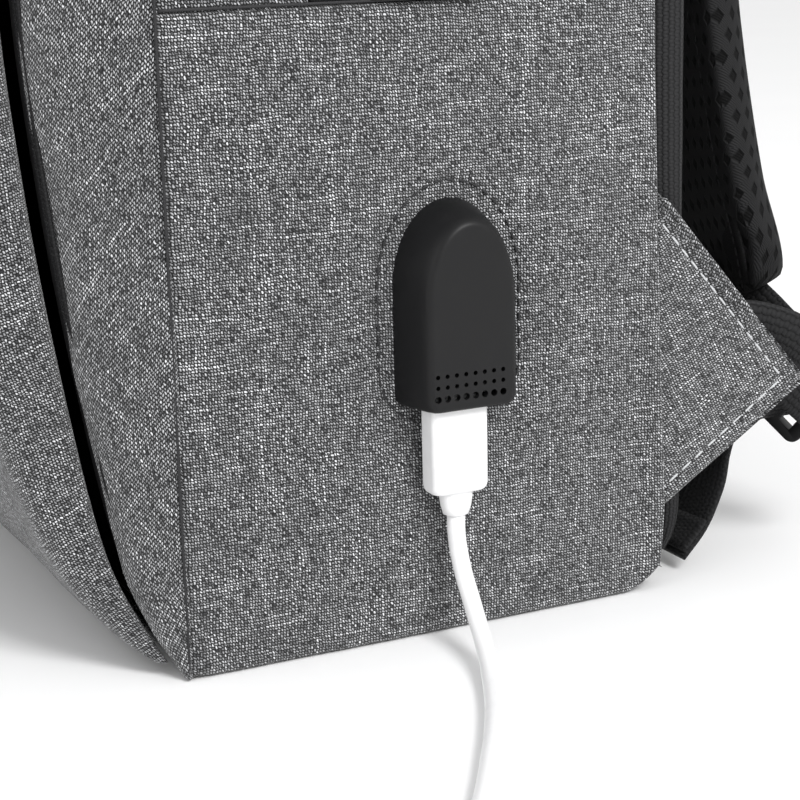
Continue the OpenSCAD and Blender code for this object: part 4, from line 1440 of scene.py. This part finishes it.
for side in ("right", "left"):
    hard(f"ladder_lock_{side}", "black_plastic", f"strap_{side}_body", 0.7)
    hard(f"side_slider_{side}", "enamel", f"side_slider_{side}_body", 0.35)
    hard(f"side_puller_{side}", "black_plastic", f"side_puller_{side}_body", 0.35)
    hard(f"main_slider_{side}", "enamel", f"main_slider_{side}_body", 0.35)
    hard(f"main_puller_{side}", "black_plastic", f"main_puller_{side}_body", 0.35)
hard("pocket_slider", "enamel", "pocket_slider_body", 0.35)
hard("pocket_puller", "black_plastic", "pocket_puller_body", 0.35)
hard("port_backplate", "black_plastic", "root", 0.4)
hard("port_lead_plug", "black_plastic", "root", 0.25)
hard("usb_socket_shell", "nickel", "root", 0.1)
hard("usb_socket_tongue", "white_plastic", "root", 0.1)
hard("usb_plug_shell", "nickel", "plug_body", 0.12)
hard("panel_snaps", "enamel", "flap", 0.4)
hard("controller_socket", "nickel", "flap", 0.1)
hard("solar_controller", "black_plastic", "flap", 0.8)


# ---- USB port ----


def cut(obj, cutter, operation="DIFFERENCE"):
    change = obj.modifiers.new("cut", "BOOLEAN")
    change.operation = operation
    change.solver = "EXACT"
    change.object = cutter
    bake_modifiers(obj)
    bpy.data.objects.remove(cutter)
    return obj


def bullet_ring(x, narrow, lower, inset=0.0, foot=0.0):
    """The port's outline at a distance from the cloth: flat foot with round corners, elliptic top."""
    w = PORT_HIGH.y - PORT_LOW.y - narrow - 2 * inset
    h = PORT_HIGH.z - PORT_LOW.z - lower - 2 * inset
    y, z = (PORT_HIGH.y + PORT_LOW.y) / 2, PORT_LOW.z + inset + foot
    straight = h * 0.58
    r = max(2.6 - inset, 0.8)
    points = [(y + w / 2, z + r)]
    for a in np.linspace(0, math.pi, 41):
        points.append((y + math.cos(a) * w / 2, z + straight + math.sin(a) * (h - straight)))
    for a in np.linspace(math.pi, 1.5 * math.pi, 8):
        points.append((y - w / 2 + r + math.cos(a) * r, z + r + math.sin(a) * r))
    for a in np.linspace(1.5 * math.pi, 2 * math.pi, 8)[:-1]:
        points.append((y + w / 2 - r + math.cos(a) * r, z + r + math.sin(a) * r))
    return [(x, b, c) for b, c in points]


def port_shell(name, inset, x0, x1):
    """The port's wedge, as a solid from the cloth to its face."""
    steps = [
        (x0, 0.0, 0.0, 0), (x0 + 0.8, 0.1, 0.05, 0), (x1 - 3.5, 4.3, 2.3, 0), (x1 - 1.6, 5.7, 3.5, 0.05),
        (x1 - 0.8, 6.5, 4.2, 0.2), (x1 - 0.3, 7.4, 5.0, 0.5), (x1 - 0.06, 8.5, 6.0, 1.0), (x1, 9.6, 7.2, 1.6),
    ]
    return loft_mesh(name, [bullet_ring(x, n, low, inset, f) for x, n, low, f in steps])


def make_port():
    """The housing: hollow, with a mouth for the plug and three rows of vent holes."""
    x0, x1 = PORT_LOW.x, PORT_HIGH.x
    wall = 1.6
    housing = port_shell("port_cover", 0.0, x0, x1)
    cut(housing, port_shell("port_hollow", wall, x0 - 2, x1 - wall))
    px, py = (PLUG_LOW.x + PLUG_HIGH.x) / 2, (PLUG_LOW.y + PLUG_HIGH.y) / 2
    pw, pt = PLUG_HIGH.y - PLUG_LOW.y + 1, PLUG_HIGH.x - PLUG_LOW.x + 1
    z = PORT_LOW.z
    mouth = [(z - 2, pt, pw, 1.6), (z + 3.5, pt, pw, 1.6)]
    cut(housing, stacked("mouth", (px, py), mouth))
    middle = (PORT_LOW.y + PORT_HIGH.y) / 2 - 1
    for up, r in ((3.6, 0.85), (6.4, 0.55), (9.0, 0.55)):
        drills = []
        for k in range(8):
            y = middle + (k - 3.5) * 2.47
            turn = [a * math.pi / 8 for a in range(16)]
            circle = [(y + r * math.cos(a), z + up + r * math.sin(a)) for a in turn]
            rings = [[(x, *point) for point in circle] for x in (x1 - 3, x1 + 2)]
            drills.append(loft_mesh(f"drill_{k}", rings))
        cut(housing, join("drills", drills))
    for p in housing.data.polygons:
        p.use_smooth = True
    housing.data.set_sharp_from_angle(angle=math.radians(38))
    return finish_piece(housing, "black_plastic", "root", "port_housing")


make_port()
port_seam = np.array([(HALF_W + 0.6, y, z) for y, z in even(port_outline(STITCH_GROW), 1.0)])
stitches("port_stitches", [port_seam], "root", length=2.1, gap=1.2, radius=0.32)

LEAD_PATH = [
    [143.5, 3, 70], [139, 3, 69], [135, 4, 64], [134, 7, 57], [134, 12, 51], [134, 19, 47],
    [134, 27, 46], [134, 34, 49], [134, 38, 56], [134, 39, 64], [134, 39, 72],
]
inner_path = curve_through(LEAD_PATH, 1.5)
inner_lead = finish_piece(
    loft_mesh("inside_lead", tube_rings(inner_path, 1.6, 12)), "black_plastic", "root", "port_lead"
)


# ---- wings ----

WING_LOW, WING_TOP, WING_TIP = np.array([65.2, 20.5]), np.array([65.2, 105.0]), np.array([111.3, 51.0])


def wing_place(u, v):
    """A place on the wing: u runs from the seam to the tip, v from the lower edge to the upper."""
    seam = WING_LOW + (WING_TOP - WING_LOW) * v[..., None]
    tip = WING_TIP + np.array([0.0, 1.0]) * ((v - 0.5) * 1.6)[..., None]
    return seam * (1 - u[..., None]) + tip * u[..., None]


def make_wing():
    """Two layers of cloth, hemmed along both free edges, with folds where the upper hem is gathered."""
    u, v = np.meshgrid(np.linspace(0, 1, 46), np.linspace(0, 1, 64), indexing="ij")
    flat = wing_place(u, v)
    low_edge = np.abs(np.cross(WING_TIP - WING_LOW, flat - WING_LOW)) / np.linalg.norm(WING_TIP - WING_LOW)
    top_edge = np.abs(np.cross(WING_TIP - WING_TOP, flat - WING_TOP)) / np.linalg.norm(WING_TIP - WING_TOP)
    edge = np.minimum(low_edge, top_edge)
    face = 149.5 - 1.3 * np.clip(1 - edge / 0.9, 0, 1) ** 2
    face = face - 0.35 * np.exp(-(((edge - 4.6) / 0.7) ** 2)) + 0.25 * np.clip(1 - edge / 4.6, 0, 1)
    fade = np.clip((0.62 - u) / 0.12, 0, 1)
    face = face - 0.7 * fade * np.exp(-(((top_edge - 4.2) / 0.5) ** 2))
    p = grid(face, flat[..., 0], flat[..., 1])
    p[..., 0] += rough(p, 16, 0.3, 5.0)
    inner = p.copy()
    inner[..., 0] = 146.9 + 1.0 * np.clip(1 - edge / 1.1, 0, 1) ** 2
    spin = math.radians(28)
    turn = np.array([[math.cos(spin), -math.sin(spin)], [math.sin(spin), math.cos(spin)]])
    return face_out(sheet_mesh("wing", p, 0, flat @ turn, inner=inner))


pair(make_wing(), "side_wing", "melange", "root", "wing_SIDE")


def wing_folds():
    """Two folded layers of the upper hem, one on the other, that end before the tip."""
    d = WING_TIP - WING_TOP
    length = np.linalg.norm(d)
    d /= length
    inward = np.array([d[1], -d[0]])
    inward = inward if inward @ (WING_LOW - WING_TOP) > 0 else -inward
    pieces = []
    for k, (reach, deep) in enumerate(((0.66, 3.1), (0.62, 1.5))):
        along, across = np.linspace(2.5, length * reach, 40), np.linspace(0.1, deep, 7)
        flat = WING_TOP + d * along[:, None, None] + inward * across[None, :, None]
        x = 149.45 + 0.75 * (k + 1) - 0.5 * np.clip((across - deep + 0.5) / 0.5, 0, 1) ** 2
        crease = rough(np.dstack([flat, flat[..., :1]]), 9, 0.25, 2.0)
        p = grid(x[None, :] + crease, flat[..., 0], flat[..., 1])
        spin = np.array([[0.88, 0.47], [-0.47, 0.88]])
        facing = 1 if grid_normals(p)[3, 3, 0] > 0 else -1
        made = sheet_mesh(f"fold_{k}", p, 0.9, flat @ spin, outward=facing)
        pieces.append(face_out(made))
    return join("wing_fold", pieces)


pair(wing_folds(), "wing_fold", "melange", "root")


def wing_lines():
    """Stitch lines inside both free edges, on both faces of the wing."""
    lines = []
    for corner, other in ((WING_LOW, WING_TOP), (WING_TOP, WING_LOW)):
        d = (WING_TIP - corner) / np.linalg.norm(WING_TIP - corner)
        inward = np.array([-d[1], d[0]])
        if inward @ (other - corner) < 0:
            inward = -inward
        start = corner + inward * 4.6 + d * (4.8 if corner is WING_LOW else 9.0)
        end = WING_TIP - d * 8.2 + inward * 4.6
        line = even([start, end], 1.0)
        for x in (149.4, 146.8):
            lines.append(np.stack([np.full(len(line), x), line[:, 0], line[:, 1]], axis=1))
    return lines


stitch_pair("wing_stitches", wing_lines(), "root", "pale_thread", length=3.1, gap=1.3, radius=0.29)


# ---- zips ----


def standing_tooth():
    """One loop of a nylon zip coil: a small bead across the zip, standing on the tape."""
    rings = []
    for y, r in ((-0.5, 0.3), (-0.42, 0.75), (-0.15, 1.0), (0.15, 1.0), (0.42, 0.75), (0.5, 0.3)):
        angles = [k * math.pi / 3 for k in range(6)]
        rings.append([(math.cos(a) * 0.42 * r, y * 2.2, math.sin(a) * 0.42 * r) for a in angles])
    obj = loft_mesh("upright_tooth", rings)
    bpy.context.scene.collection.objects.unlink(obj)
    obj.data.transform(Matrix.Rotation(math.pi / 2, 4, "X"))
    return obj


STANDING_TOOTH = standing_tooth()


def side_zip():
    """The side pocket's zip: tape in its slot and a closed coil."""
    low, high = ZIP_LOW, ZIP_HIGH
    ys = np.linspace(low.y, high.y, 60)
    zs = np.linspace(low.z - 0.6, high.z + 0.6, 10)
    x = HALF_W - 2.7
    p = grid(x, ys[None, :], zs[:, None])
    p[..., 0] += rough(p, 14, 0.15, 2.0)
    return sheet_mesh("side_zip", p, 0.8, outward=-1)


zip_mid = (ZIP_LOW.z + ZIP_HIGH.z) / 2
pair(side_zip(), "side_pocket_zip", "zip_cloth", "root", "side_zip_SIDE")
for side, sign in (("right", 1), ("left", -1)):
    line = [[sign * (HALF_W - 2.2), y, zip_mid] for y in np.linspace(ZIP_LOW.y + 1, ZIP_HIGH.y - 1, 90)]
    row_along(f"side_zip_coil_{side}", [line], STANDING_TOOTH, 0.95, "nylon", "root")


def flap_side_line(d, back, z0=8.0):
    """The main zip's line at a distance from the rim strip's edge, and back from it."""
    points = []
    for z in np.linspace(z0, CORNER_Z, 70):
        reach = float(rim(z))
        points.append((HALF_W - reach - d, FRONT - reach + back, z))
    r = TOP_R - RIM_REACH - d
    for a in np.linspace(0, math.pi / 2, 16)[1:]:
        x, z = HALF_W - TOP_R + r * math.cos(a), CORNER_Z + r * math.sin(a)
        points.append((x, FRONT - RIM_REACH + back, z))
    half = np.array(points)
    return even(np.concatenate([half, (half * right_to_left)[::-1][1:]]), 2.5)


def zip_tape(name, d0, d1):
    """One tape of the main zip, lying across the recess and facing the front."""
    lines = [flap_side_line(d, 2.6) for d in np.linspace(d0, d1, 5)]
    count = min(len(line) for line in lines)
    at = np.linspace(0, 1, count)
    return face_out(sheet_mesh(name, np.array([at_shares(line, at) for line in lines]), 0.7))


finish_piece(zip_tape("main_tape_body", 0.1, 2.6), "zip_cloth", "root", "zip_tape_body")
finish_piece(zip_tape("main_tape_flap", 3.2, 7.2), "zip_cloth", "flap", "zip_tape_flap")
row_along("main_coil_body", [flap_side_line(2.0, 2.2)], STANDING_TOOTH, 1.5, "nylon", "root")
row_along("main_coil_flap", [flap_side_line(3.7, 2.2)], STANDING_TOOTH, 1.5, "nylon", "flap")

# ---- front flap ----


def half_flap(z):
    """Half width of the flap at a height."""
    if z <= CORNER_Z:
        return HALF_W - float(rim(z)) - RIM_GAP
    corner = TOP_R - RIM_REACH - RIM_GAP
    return HALF_W - TOP_R + math.sqrt(max(corner**2 - (z - CORNER_Z) ** 2, 0))


def cushion_ring(h, y, t, z, r, fine=5.0):
    """A level ring of a padded shape with round front edges, its back at y and its thickness t."""
    turn = np.linspace(0, math.pi / 2, 6)
    left = [(-h + r - math.cos(a) * r, y - t + r - math.sin(a) * r) for a in turn]
    right = [(h - r + math.sin(a) * r, y - t + r - math.cos(a) * r) for a in turn]
    front = [(x, y - t) for x in np.linspace(-h + r, h - r, int(2 * 145 / fine))[1:-1]]
    back = [(x, y) for x in np.linspace(h, -h, int(2 * 145 / fine))]
    mid = [(-h, y - t * 0.3 + r * 0.1)]
    other = [(h, y - t * 0.3 + r * 0.1)]
    return [(a, b, z) for a, b in mid + left + front + right + other + back]


def make_flap():
    """The flap: cloth over foam, slack between its seams, pulled down round the solar sheet."""
    levels = [2.2, 3.4, 6, 9] + list(np.arange(13, 408, 5)) + [411, 414.5, 416.8, 418.2, 418.8]
    rings = []
    for z in levels:
        reach = float(rim(z))
        t = float(flap_thickness(z)) - 1.2
        end = min(1, 0.35 + (418.8 - z) / 6, 0.5 + (z - 2) / 6)
        half = half_flap(z) + 1.7 - (1 - end) * 2.4
        rings.append(cushion_ring(half, FRONT - reach - 1.2, t * end, z, min(7, t * end - 0.8)))
    rings = np.array(rings)
    front = rings[..., 1] < np.array([FRONT - float(rim(z)) - 2.5 for z in levels])[:, None]
    x, z = rings[..., 0], rings[..., 2]
    room = np.clip((np.abs(x) - 100) / 8, 0, 1) + np.clip((218 - z) / 8, 0, 1) + np.clip((z - 396) / 8, 0, 1)
    room = np.clip(room, 0, 1)
    slack = rough(rings, 42, 2.2, 1.3) + rough(rings, 16, 0.7, 2.7)
    off_crease = (z - 64 - 0.22 * (np.abs(x) - 90)) / 3.2
    fold = 1.3 * np.exp(-(off_crease**2)) * np.clip((np.abs(x) - 96) / 12, 0, 1)
    rings[..., 1] += np.where(front, room * (np.clip(slack, -2.4, 1.2) + fold) + (1 - room) * 0.4, 0)
    return loft_mesh("flap_cloth", rings)


flap_cloth = make_flap()
smooth = flap_cloth.modifiers.new("smooth", "SUBSURF")
smooth.levels = smooth.render_levels = 1
finish_piece(bake_modifiers(flap_cloth), "melange", "flap", "flap_panel")


def flap_front(z):
    return FRONT - float(rim(z)) - float(flap_thickness(z))


def make_pocket():
    """The zipped pocket on the flap, filled out by a cloth simulation."""
    table = smooth_through([
        [34, 1.2], [40, 5], [52, 9], [63, 10.6], [80, 12.5], [113, 13.6], [155, 13.4], [165, 13], [186, 11],
        [196, 7.5], [200, 4.5], [203, 1.2],
    ])
    rings = []
    for z in [34, 35, 37, 40] + list(np.arange(44, 198, 5)) + [199, 201, 202.4, 203]:
        t = float(table(z))
        rings.append(cushion_ring(96 - (14 - t) * 0.35, flap_front(z) - 0.05, t, z, min(6, t * 0.8), 6.5))
    return loft_mesh("flap_pocket_cloth", rings)


pocket = make_pocket()
puff(pocket, lambda v: v[1] > flap_front(v[2]) - 1.0 or v[2] < 38 or v[2] > 198, 4.0, 2.2)
slack = np.array([v.co for v in pocket.data.vertices]) / MM
wrinkle = np.maximum(rough(slack, 22, 1.6, 3.0) + rough(slack, 9, 0.4, 1.0), -0.6)
slack[:, 1] += np.where(slack[:, 1] < -104, wrinkle, 0)
pocket.data.vertices.foreach_set("co", (slack * MM).ravel())
finish_piece(pocket, "melange", "flap", "flap_pocket")


def flat_sheet(name, x0, x1, z0, z1, y, thick, outward=-1, nx=60, nz=12, lift=0.12):
    """A flat strip of cloth that faces the front."""
    p = grid(np.linspace(x0, x1, nx)[None, :], y, np.linspace(z0, z1, nz)[:, None])
    p[..., 1] += rough(p, 12, lift, 5.0)
    return face_out(sheet_mesh(name, p, thick, outward=outward))


POCKET_ZIP_LOW, POCKET_ZIP_HIGH = node_box("pocket_zip")
pocket_z = (POCKET_ZIP_LOW.z + POCKET_ZIP_HIGH.z) / 2
zip_left, zip_right = POCKET_ZIP_LOW.x, POCKET_ZIP_HIGH.x
tape = flat_sheet(
    "pocket_zip_tape", zip_left, zip_right, POCKET_ZIP_LOW.z, POCKET_ZIP_HIGH.z, FLAP_FACE - 1.1, 0.9
)
finish_piece(tape, "zip_cloth", "flap", "pocket_zip")
line = [[x, FLAP_FACE - 1.6, pocket_z] for x in np.linspace(zip_left + 1, zip_right - 1, 100)]
row_along("pocket_zip_coil", [line], STANDING_TOOTH, 0.95, "nylon", "flap")
for name, z0 in (("lower", POCKET_ZIP_LOW.z - 2.2), ("upper", POCKET_ZIP_HIGH.z - 0.9)):
    named = f"pocket_zip_fold_{name}"
    fold = flat_sheet(named, zip_left - 2, zip_right + 2, z0, z0 + 3.2, FLAP_FACE - 1.6, 1.3)
    finish_piece(fold, "melange", "flap")
pocket_seam = [[x, FLAP_FACE - 1.75, POCKET_ZIP_HIGH.z + 1.4] for x in np.linspace(-88, 88, 90)]
stitches("pocket_zip_stitches", [pocket_seam], "flap", length=2.2, gap=0.9, radius=0.22)

# ---- solar sheet ----

CELLS_LOW, CELLS_HIGH = node_box("solar_cells")
BORDER_LOW, BORDER_HIGH = node_box("solar_border")


def cells_look(t, bsdf):
    """Dark blue cells with fine silver fingers and two busbars on each."""
    x, _, z = t.split(object_map(t))
    finger = t.math("LESS_THAN", t.math("PINGPONG", z, 0.0009), 0.00009)
    wide = (CELLS_HIGH.x - CELLS_LOW.x + 2) / 4 * MM
    start = t.math("SUBTRACT", x, CELLS_LOW.x * MM - 0.001)
    place = t.math("FRACT", t.math("DIVIDE", start, wide))
    off_bar = t.math("ABSOLUTE", t.math("SUBTRACT", t.math("PINGPONG", place, 0.5), 0.27))
    bar = t.math("LESS_THAN", off_bar, 0.017)
    metal = t.math("MAXIMUM", finger, bar)
    cloud = t.noise(object_map(t), 60.0, 3.0)
    blue = t.mix(t.ramp(cloud, 0.3, 0.7), (0.008, 0.012, 0.04, 1), (0.014, 0.024, 0.085, 1))
    t.put(bsdf.inputs["Base Color"], t.mix(metal, blue, (0.45, 0.46, 0.48, 1)))
    t.put(bsdf.inputs["Metallic"], t.math("MULTIPLY", metal, 0.8))
    t.put(bsdf.inputs["Roughness"], t.ramp(cloud, 0.3, 0.7, 0.28, 0.4))


def film_look(t, bsdf):
    """Clear film with a fine dimpled face."""
    dimple = t.node("ShaderNodeTexVoronoi", {"Vector": object_map(t), "Scale": 900.0}).outputs[0]
    t.put(bsdf.inputs["Roughness"], t.ramp(t.noise(object_map(t), 30.0), 0.3, 0.7, 0.12, 0.26))
    bump(t, bsdf, dimple, 0.00005, 0.25)


material("cells", "solar_cell", cells_look, Coat_Weight=0.3)
material("film", "clear_film", film_look, Alpha=0.14, Base_Color=(0.03, 0.032, 0.04, 1))
material(
    "board", "solar_sheet",
    moulded((0.012, 0.013, 0.02, 1), (0.02, 0.021, 0.03, 1), 2400.0, 0.4, 0.5, 0.00002),
)
hard("solar_backing", "board", "flap", 0.15)
hard("solar_cells", "cells", "flap", 0.08)
hard("solar_cover", "film", "flap", 0.15)


def solar_edge():
    """The cloth border that holds the solar sheet, rounded and stitched."""
    w, h = BORDER_HIGH.x - BORDER_LOW.x, BORDER_HIGH.z - BORDER_LOW.z
    middle = ((BORDER_HIGH.x + BORDER_LOW.x) / 2, (BORDER_HIGH.z + BORDER_LOW.z) / 2)
    y = BORDER_HIGH.y
    steps = [
        (0.3, -0.05), (0, -0.7), (0.1, -1.7), (0.8, -2.25), (3, -2.35), (6, -2.3), (9, -2.35), (10.3, -2.2),
        (10.7, -1.4), (10.7, -0.05),
    ]
    rings = []
    for inset, out in steps:
        ring = rounded_section(w - 2 * inset, h - 2 * inset, max(9 - inset * 0.55, 3.4), 6)
        ring = np.array(ring + ring[:1])
        length = np.concatenate([[0], np.cumsum(np.hypot(*np.diff(ring, axis=0).T))])
        at = np.linspace(0, length[-1], 181)[:-1]
        xs, zs = np.interp(at, length, ring[:, 0]), np.interp(at, length, ring[:, 1])
        rings.append([(middle[0] + a, y + out, middle[1] + b) for a, b in zip(xs, zs)])
    rings = np.array(rings)
    return face_out(loft_closed("solar_edging", rings)), middle, w, h, y


def loft_closed(name, rings):
    """A ring-shaped solid: rings of points whose last ring joins the first."""
    m, n = rings.shape[:2]
    faces = []
    for i in range(m):
        for k in range(n):
            q, j = (k + 1) % n, (i + 1) % m
            faces.append((i * n + k, i * n + q, j * n + q, j * n + k))
    lengths = np.cumsum(np.linalg.norm(np.diff(rings[0], axis=0, append=rings[0][:1]), axis=-1))
    across = np.cumsum(np.linalg.norm(np.diff(rings[:, 0], axis=0, prepend=rings[:1, 0]), axis=-1))
    uv = np.stack(np.broadcast_arrays(across[:, None], lengths[None, :]), axis=-1)
    return mesh_object(name, rings.reshape(-1, 3), faces, uv.reshape(-1, 2))


edging, edge_middle, edge_w, edge_h, edge_y = solar_edge()
finish_piece(edging, "webbing", "flap", "solar_border")
edge_lines = []
for inset in (1.6, 9.2):
    ring = rounded_section(edge_w - 2 * inset, edge_h - 2 * inset, 7 - inset * 0.3, 6)
    ring = even(np.array(ring + ring[:1]), 1.0)
    edge_lines.append([(edge_middle[0] + a, edge_y - 2.45, edge_middle[1] + b) for a, b in ring])
stitches("solar_stitches", edge_lines, "flap", length=2.4, gap=0.9, radius=0.22)

# ---- handle, yoke, pockets inside ----

HANDLE_PATH = [
    [-48, 66, 451.5], [-47, 66, 460], [-42, 66, 470], [-32, 66, 477], [-16, 66, 480], [0, 66, 481],
    [16, 66, 480], [32, 66, 477], [42, 66, 470], [47, 66, 460], [48, 66, 451.5],
]
handle = strip_piece("handle_loop", HANDLE_PATH, [[0, 1, 0]] * 11, 23.4, 3.6, 2.0, 0.15)
finish_piece(handle, "webbing", ("root", "handle_body", (0, 78, 451.5), (0, 78, 466)), "carry_handle")
handle_lines = []
for y in (57.2, 74.8):
    middle = curve_through(HANDLE_PATH, 1.0)[14:-14]
    handle_lines.append([(x, y, z + 1.95) for x, _, z in middle])
stitches("handle_stitches", handle_lines, "handle_body", length=2.6, gap=1.0, radius=0.24)

YOKE_LOW, YOKE_HIGH = node_box("strap_yoke")
yoke = flat_sheet(
    "yoke_patch", YOKE_LOW.x, YOKE_HIGH.x, YOKE_LOW.z, YOKE_HIGH.z, YOKE_HIGH.y - 0.3, 3.4, 1, 60, 14, 0.3
)
shift = np.array([v.co for v in yoke.data.vertices]) / MM
shift[:, 1] = np.where(shift[:, 1] < YOKE_HIGH.y - 2, YOKE_LOW.y + 0.15, shift[:, 1])
yoke.data.vertices.foreach_set("co", (shift * MM).ravel())
finish_piece(yoke, "melange", "root", "strap_yoke")
YOKE_INSET = 2.4
left, right = YOKE_LOW.x + YOKE_INSET, YOKE_HIGH.x - YOKE_INSET
low, high = YOKE_LOW.z + YOKE_INSET, YOKE_HIGH.z - YOKE_INSET
yoke_box = even([(left, low), (right, low), (right, high), (left, high), (left, low)], 1.5)
yoke_seam = [(x, YOKE_HIGH.y - 0.05, z) for x, z in yoke_box]
stitches("yoke_stitches", [yoke_seam], "root", length=2.6, gap=1.0, radius=0.24)


def wrap_pocket(name, corners, z0, z1, thick, *nodes):
    """An upright pocket: a sheet bent round corners."""
    line = even(corners, 6.0)
    zs = np.linspace(z0, z1, int((z1 - z0) / 6) + 2)
    p = grid(line[None, :, 0], line[None, :, 1], zs[:, None])
    p[..., 1] += rough(p, 30, 0.6, 3.0) * 0.5
    made = face_out(sheet_mesh(name, p, thick))
    return finish_piece(made, "lining", "root", *nodes)


LAPTOP_CORNERS = [(-122.6, 62.5), (-122.6, 47.2), (122.6, 47.2), (122.6, 62.5)]
POUCH_CORNERS = [(145.6, -31), (125.2, -31), (125.2, 55), (145.6, 55)]
wrap_pocket("laptop_pocket", LAPTOP_CORNERS, 10.5, 299.5, 1.6, "laptop_sleeve")
pouch = wrap_pocket("pouch_cloth_right", POUCH_CORNERS, 34.5, 169.5, 1.2, "side_pouch_right")
other_pouch = mirror_piece(pouch, "pouch_cloth_left")
finish_piece(other_pouch, "lining", "root", "side_pouch_left")
sleeve_top = [[-122, 47.2, 299.6], [0, 47.0, 299.8], [122, 47.2, 299.6]]
sleeve_edge = strip_piece("sleeve_edge", sleeve_top, [[0, 0.3, 1]] * 3, 7, 3.2, 4.0)
finish_piece(sleeve_edge, "webbing", "root")

# ---- floor and light ----


def make_floor():
    mesh = bpy.data.meshes.new("floor")
    mesh.from_pydata([(-6, -6, 0), (6, -6, 0), (6, 6, 0), (-6, 6, 0)], [], [(0, 1, 2, 3)])
    obj = bpy.data.objects.new("floor", mesh)
    bpy.context.scene.collection.objects.link(obj)
    made = bpy.data.materials.new("floor_white")
    made.use_nodes = True
    t = Tree(made.node_tree)
    bsdf = made.node_tree.nodes["Principled BSDF"]
    cloud = t.noise(object_map(t), 8.0, 3.0)
    t.put(bsdf.inputs["Base Color"], t.mix(cloud, (0.92, 0.92, 0.925, 1), (0.95, 0.95, 0.95, 1)))
    bsdf.inputs["Roughness"].default_value = 0.6
    mesh.materials.append(made)


def make_light(name, place, aim, size, power, color=(1, 1, 1)):
    data = bpy.data.lights.new(name, "AREA")
    data.size = size
    data.energy = power
    data.color = color
    obj = bpy.data.objects.new(name, data)
    obj.location = place
    obj.rotation_mode = "QUATERNION"
    obj.rotation_quaternion = (Vector(place) - Vector(aim)).to_track_quat("Z", "Y")
    bpy.context.scene.collection.objects.link(obj)


make_floor()
world = bpy.data.worlds.new("studio")
world.use_nodes = True
sky = Tree(world.node_tree)
seen = sky.node("ShaderNodeLightPath").outputs["Is Camera Ray"]
background = world.node_tree.nodes["Background"].inputs
background[0].default_value = (1.0, 1.0, 1.0, 1)
sky.put(background[1], sky.ramp(seen, 0.0, 1.0, 0.88, 1.0))
bpy.context.scene.world = world
bpy.context.scene.view_settings.view_transform = "Standard"
make_light("key", (1.5, 0.3, 1.35), (0.1, 0, 0.1), 0.7, 26)
make_light("fill", (0.5, -1.9, 0.9), (0.1, 0, 0.1), 1.0, 4)
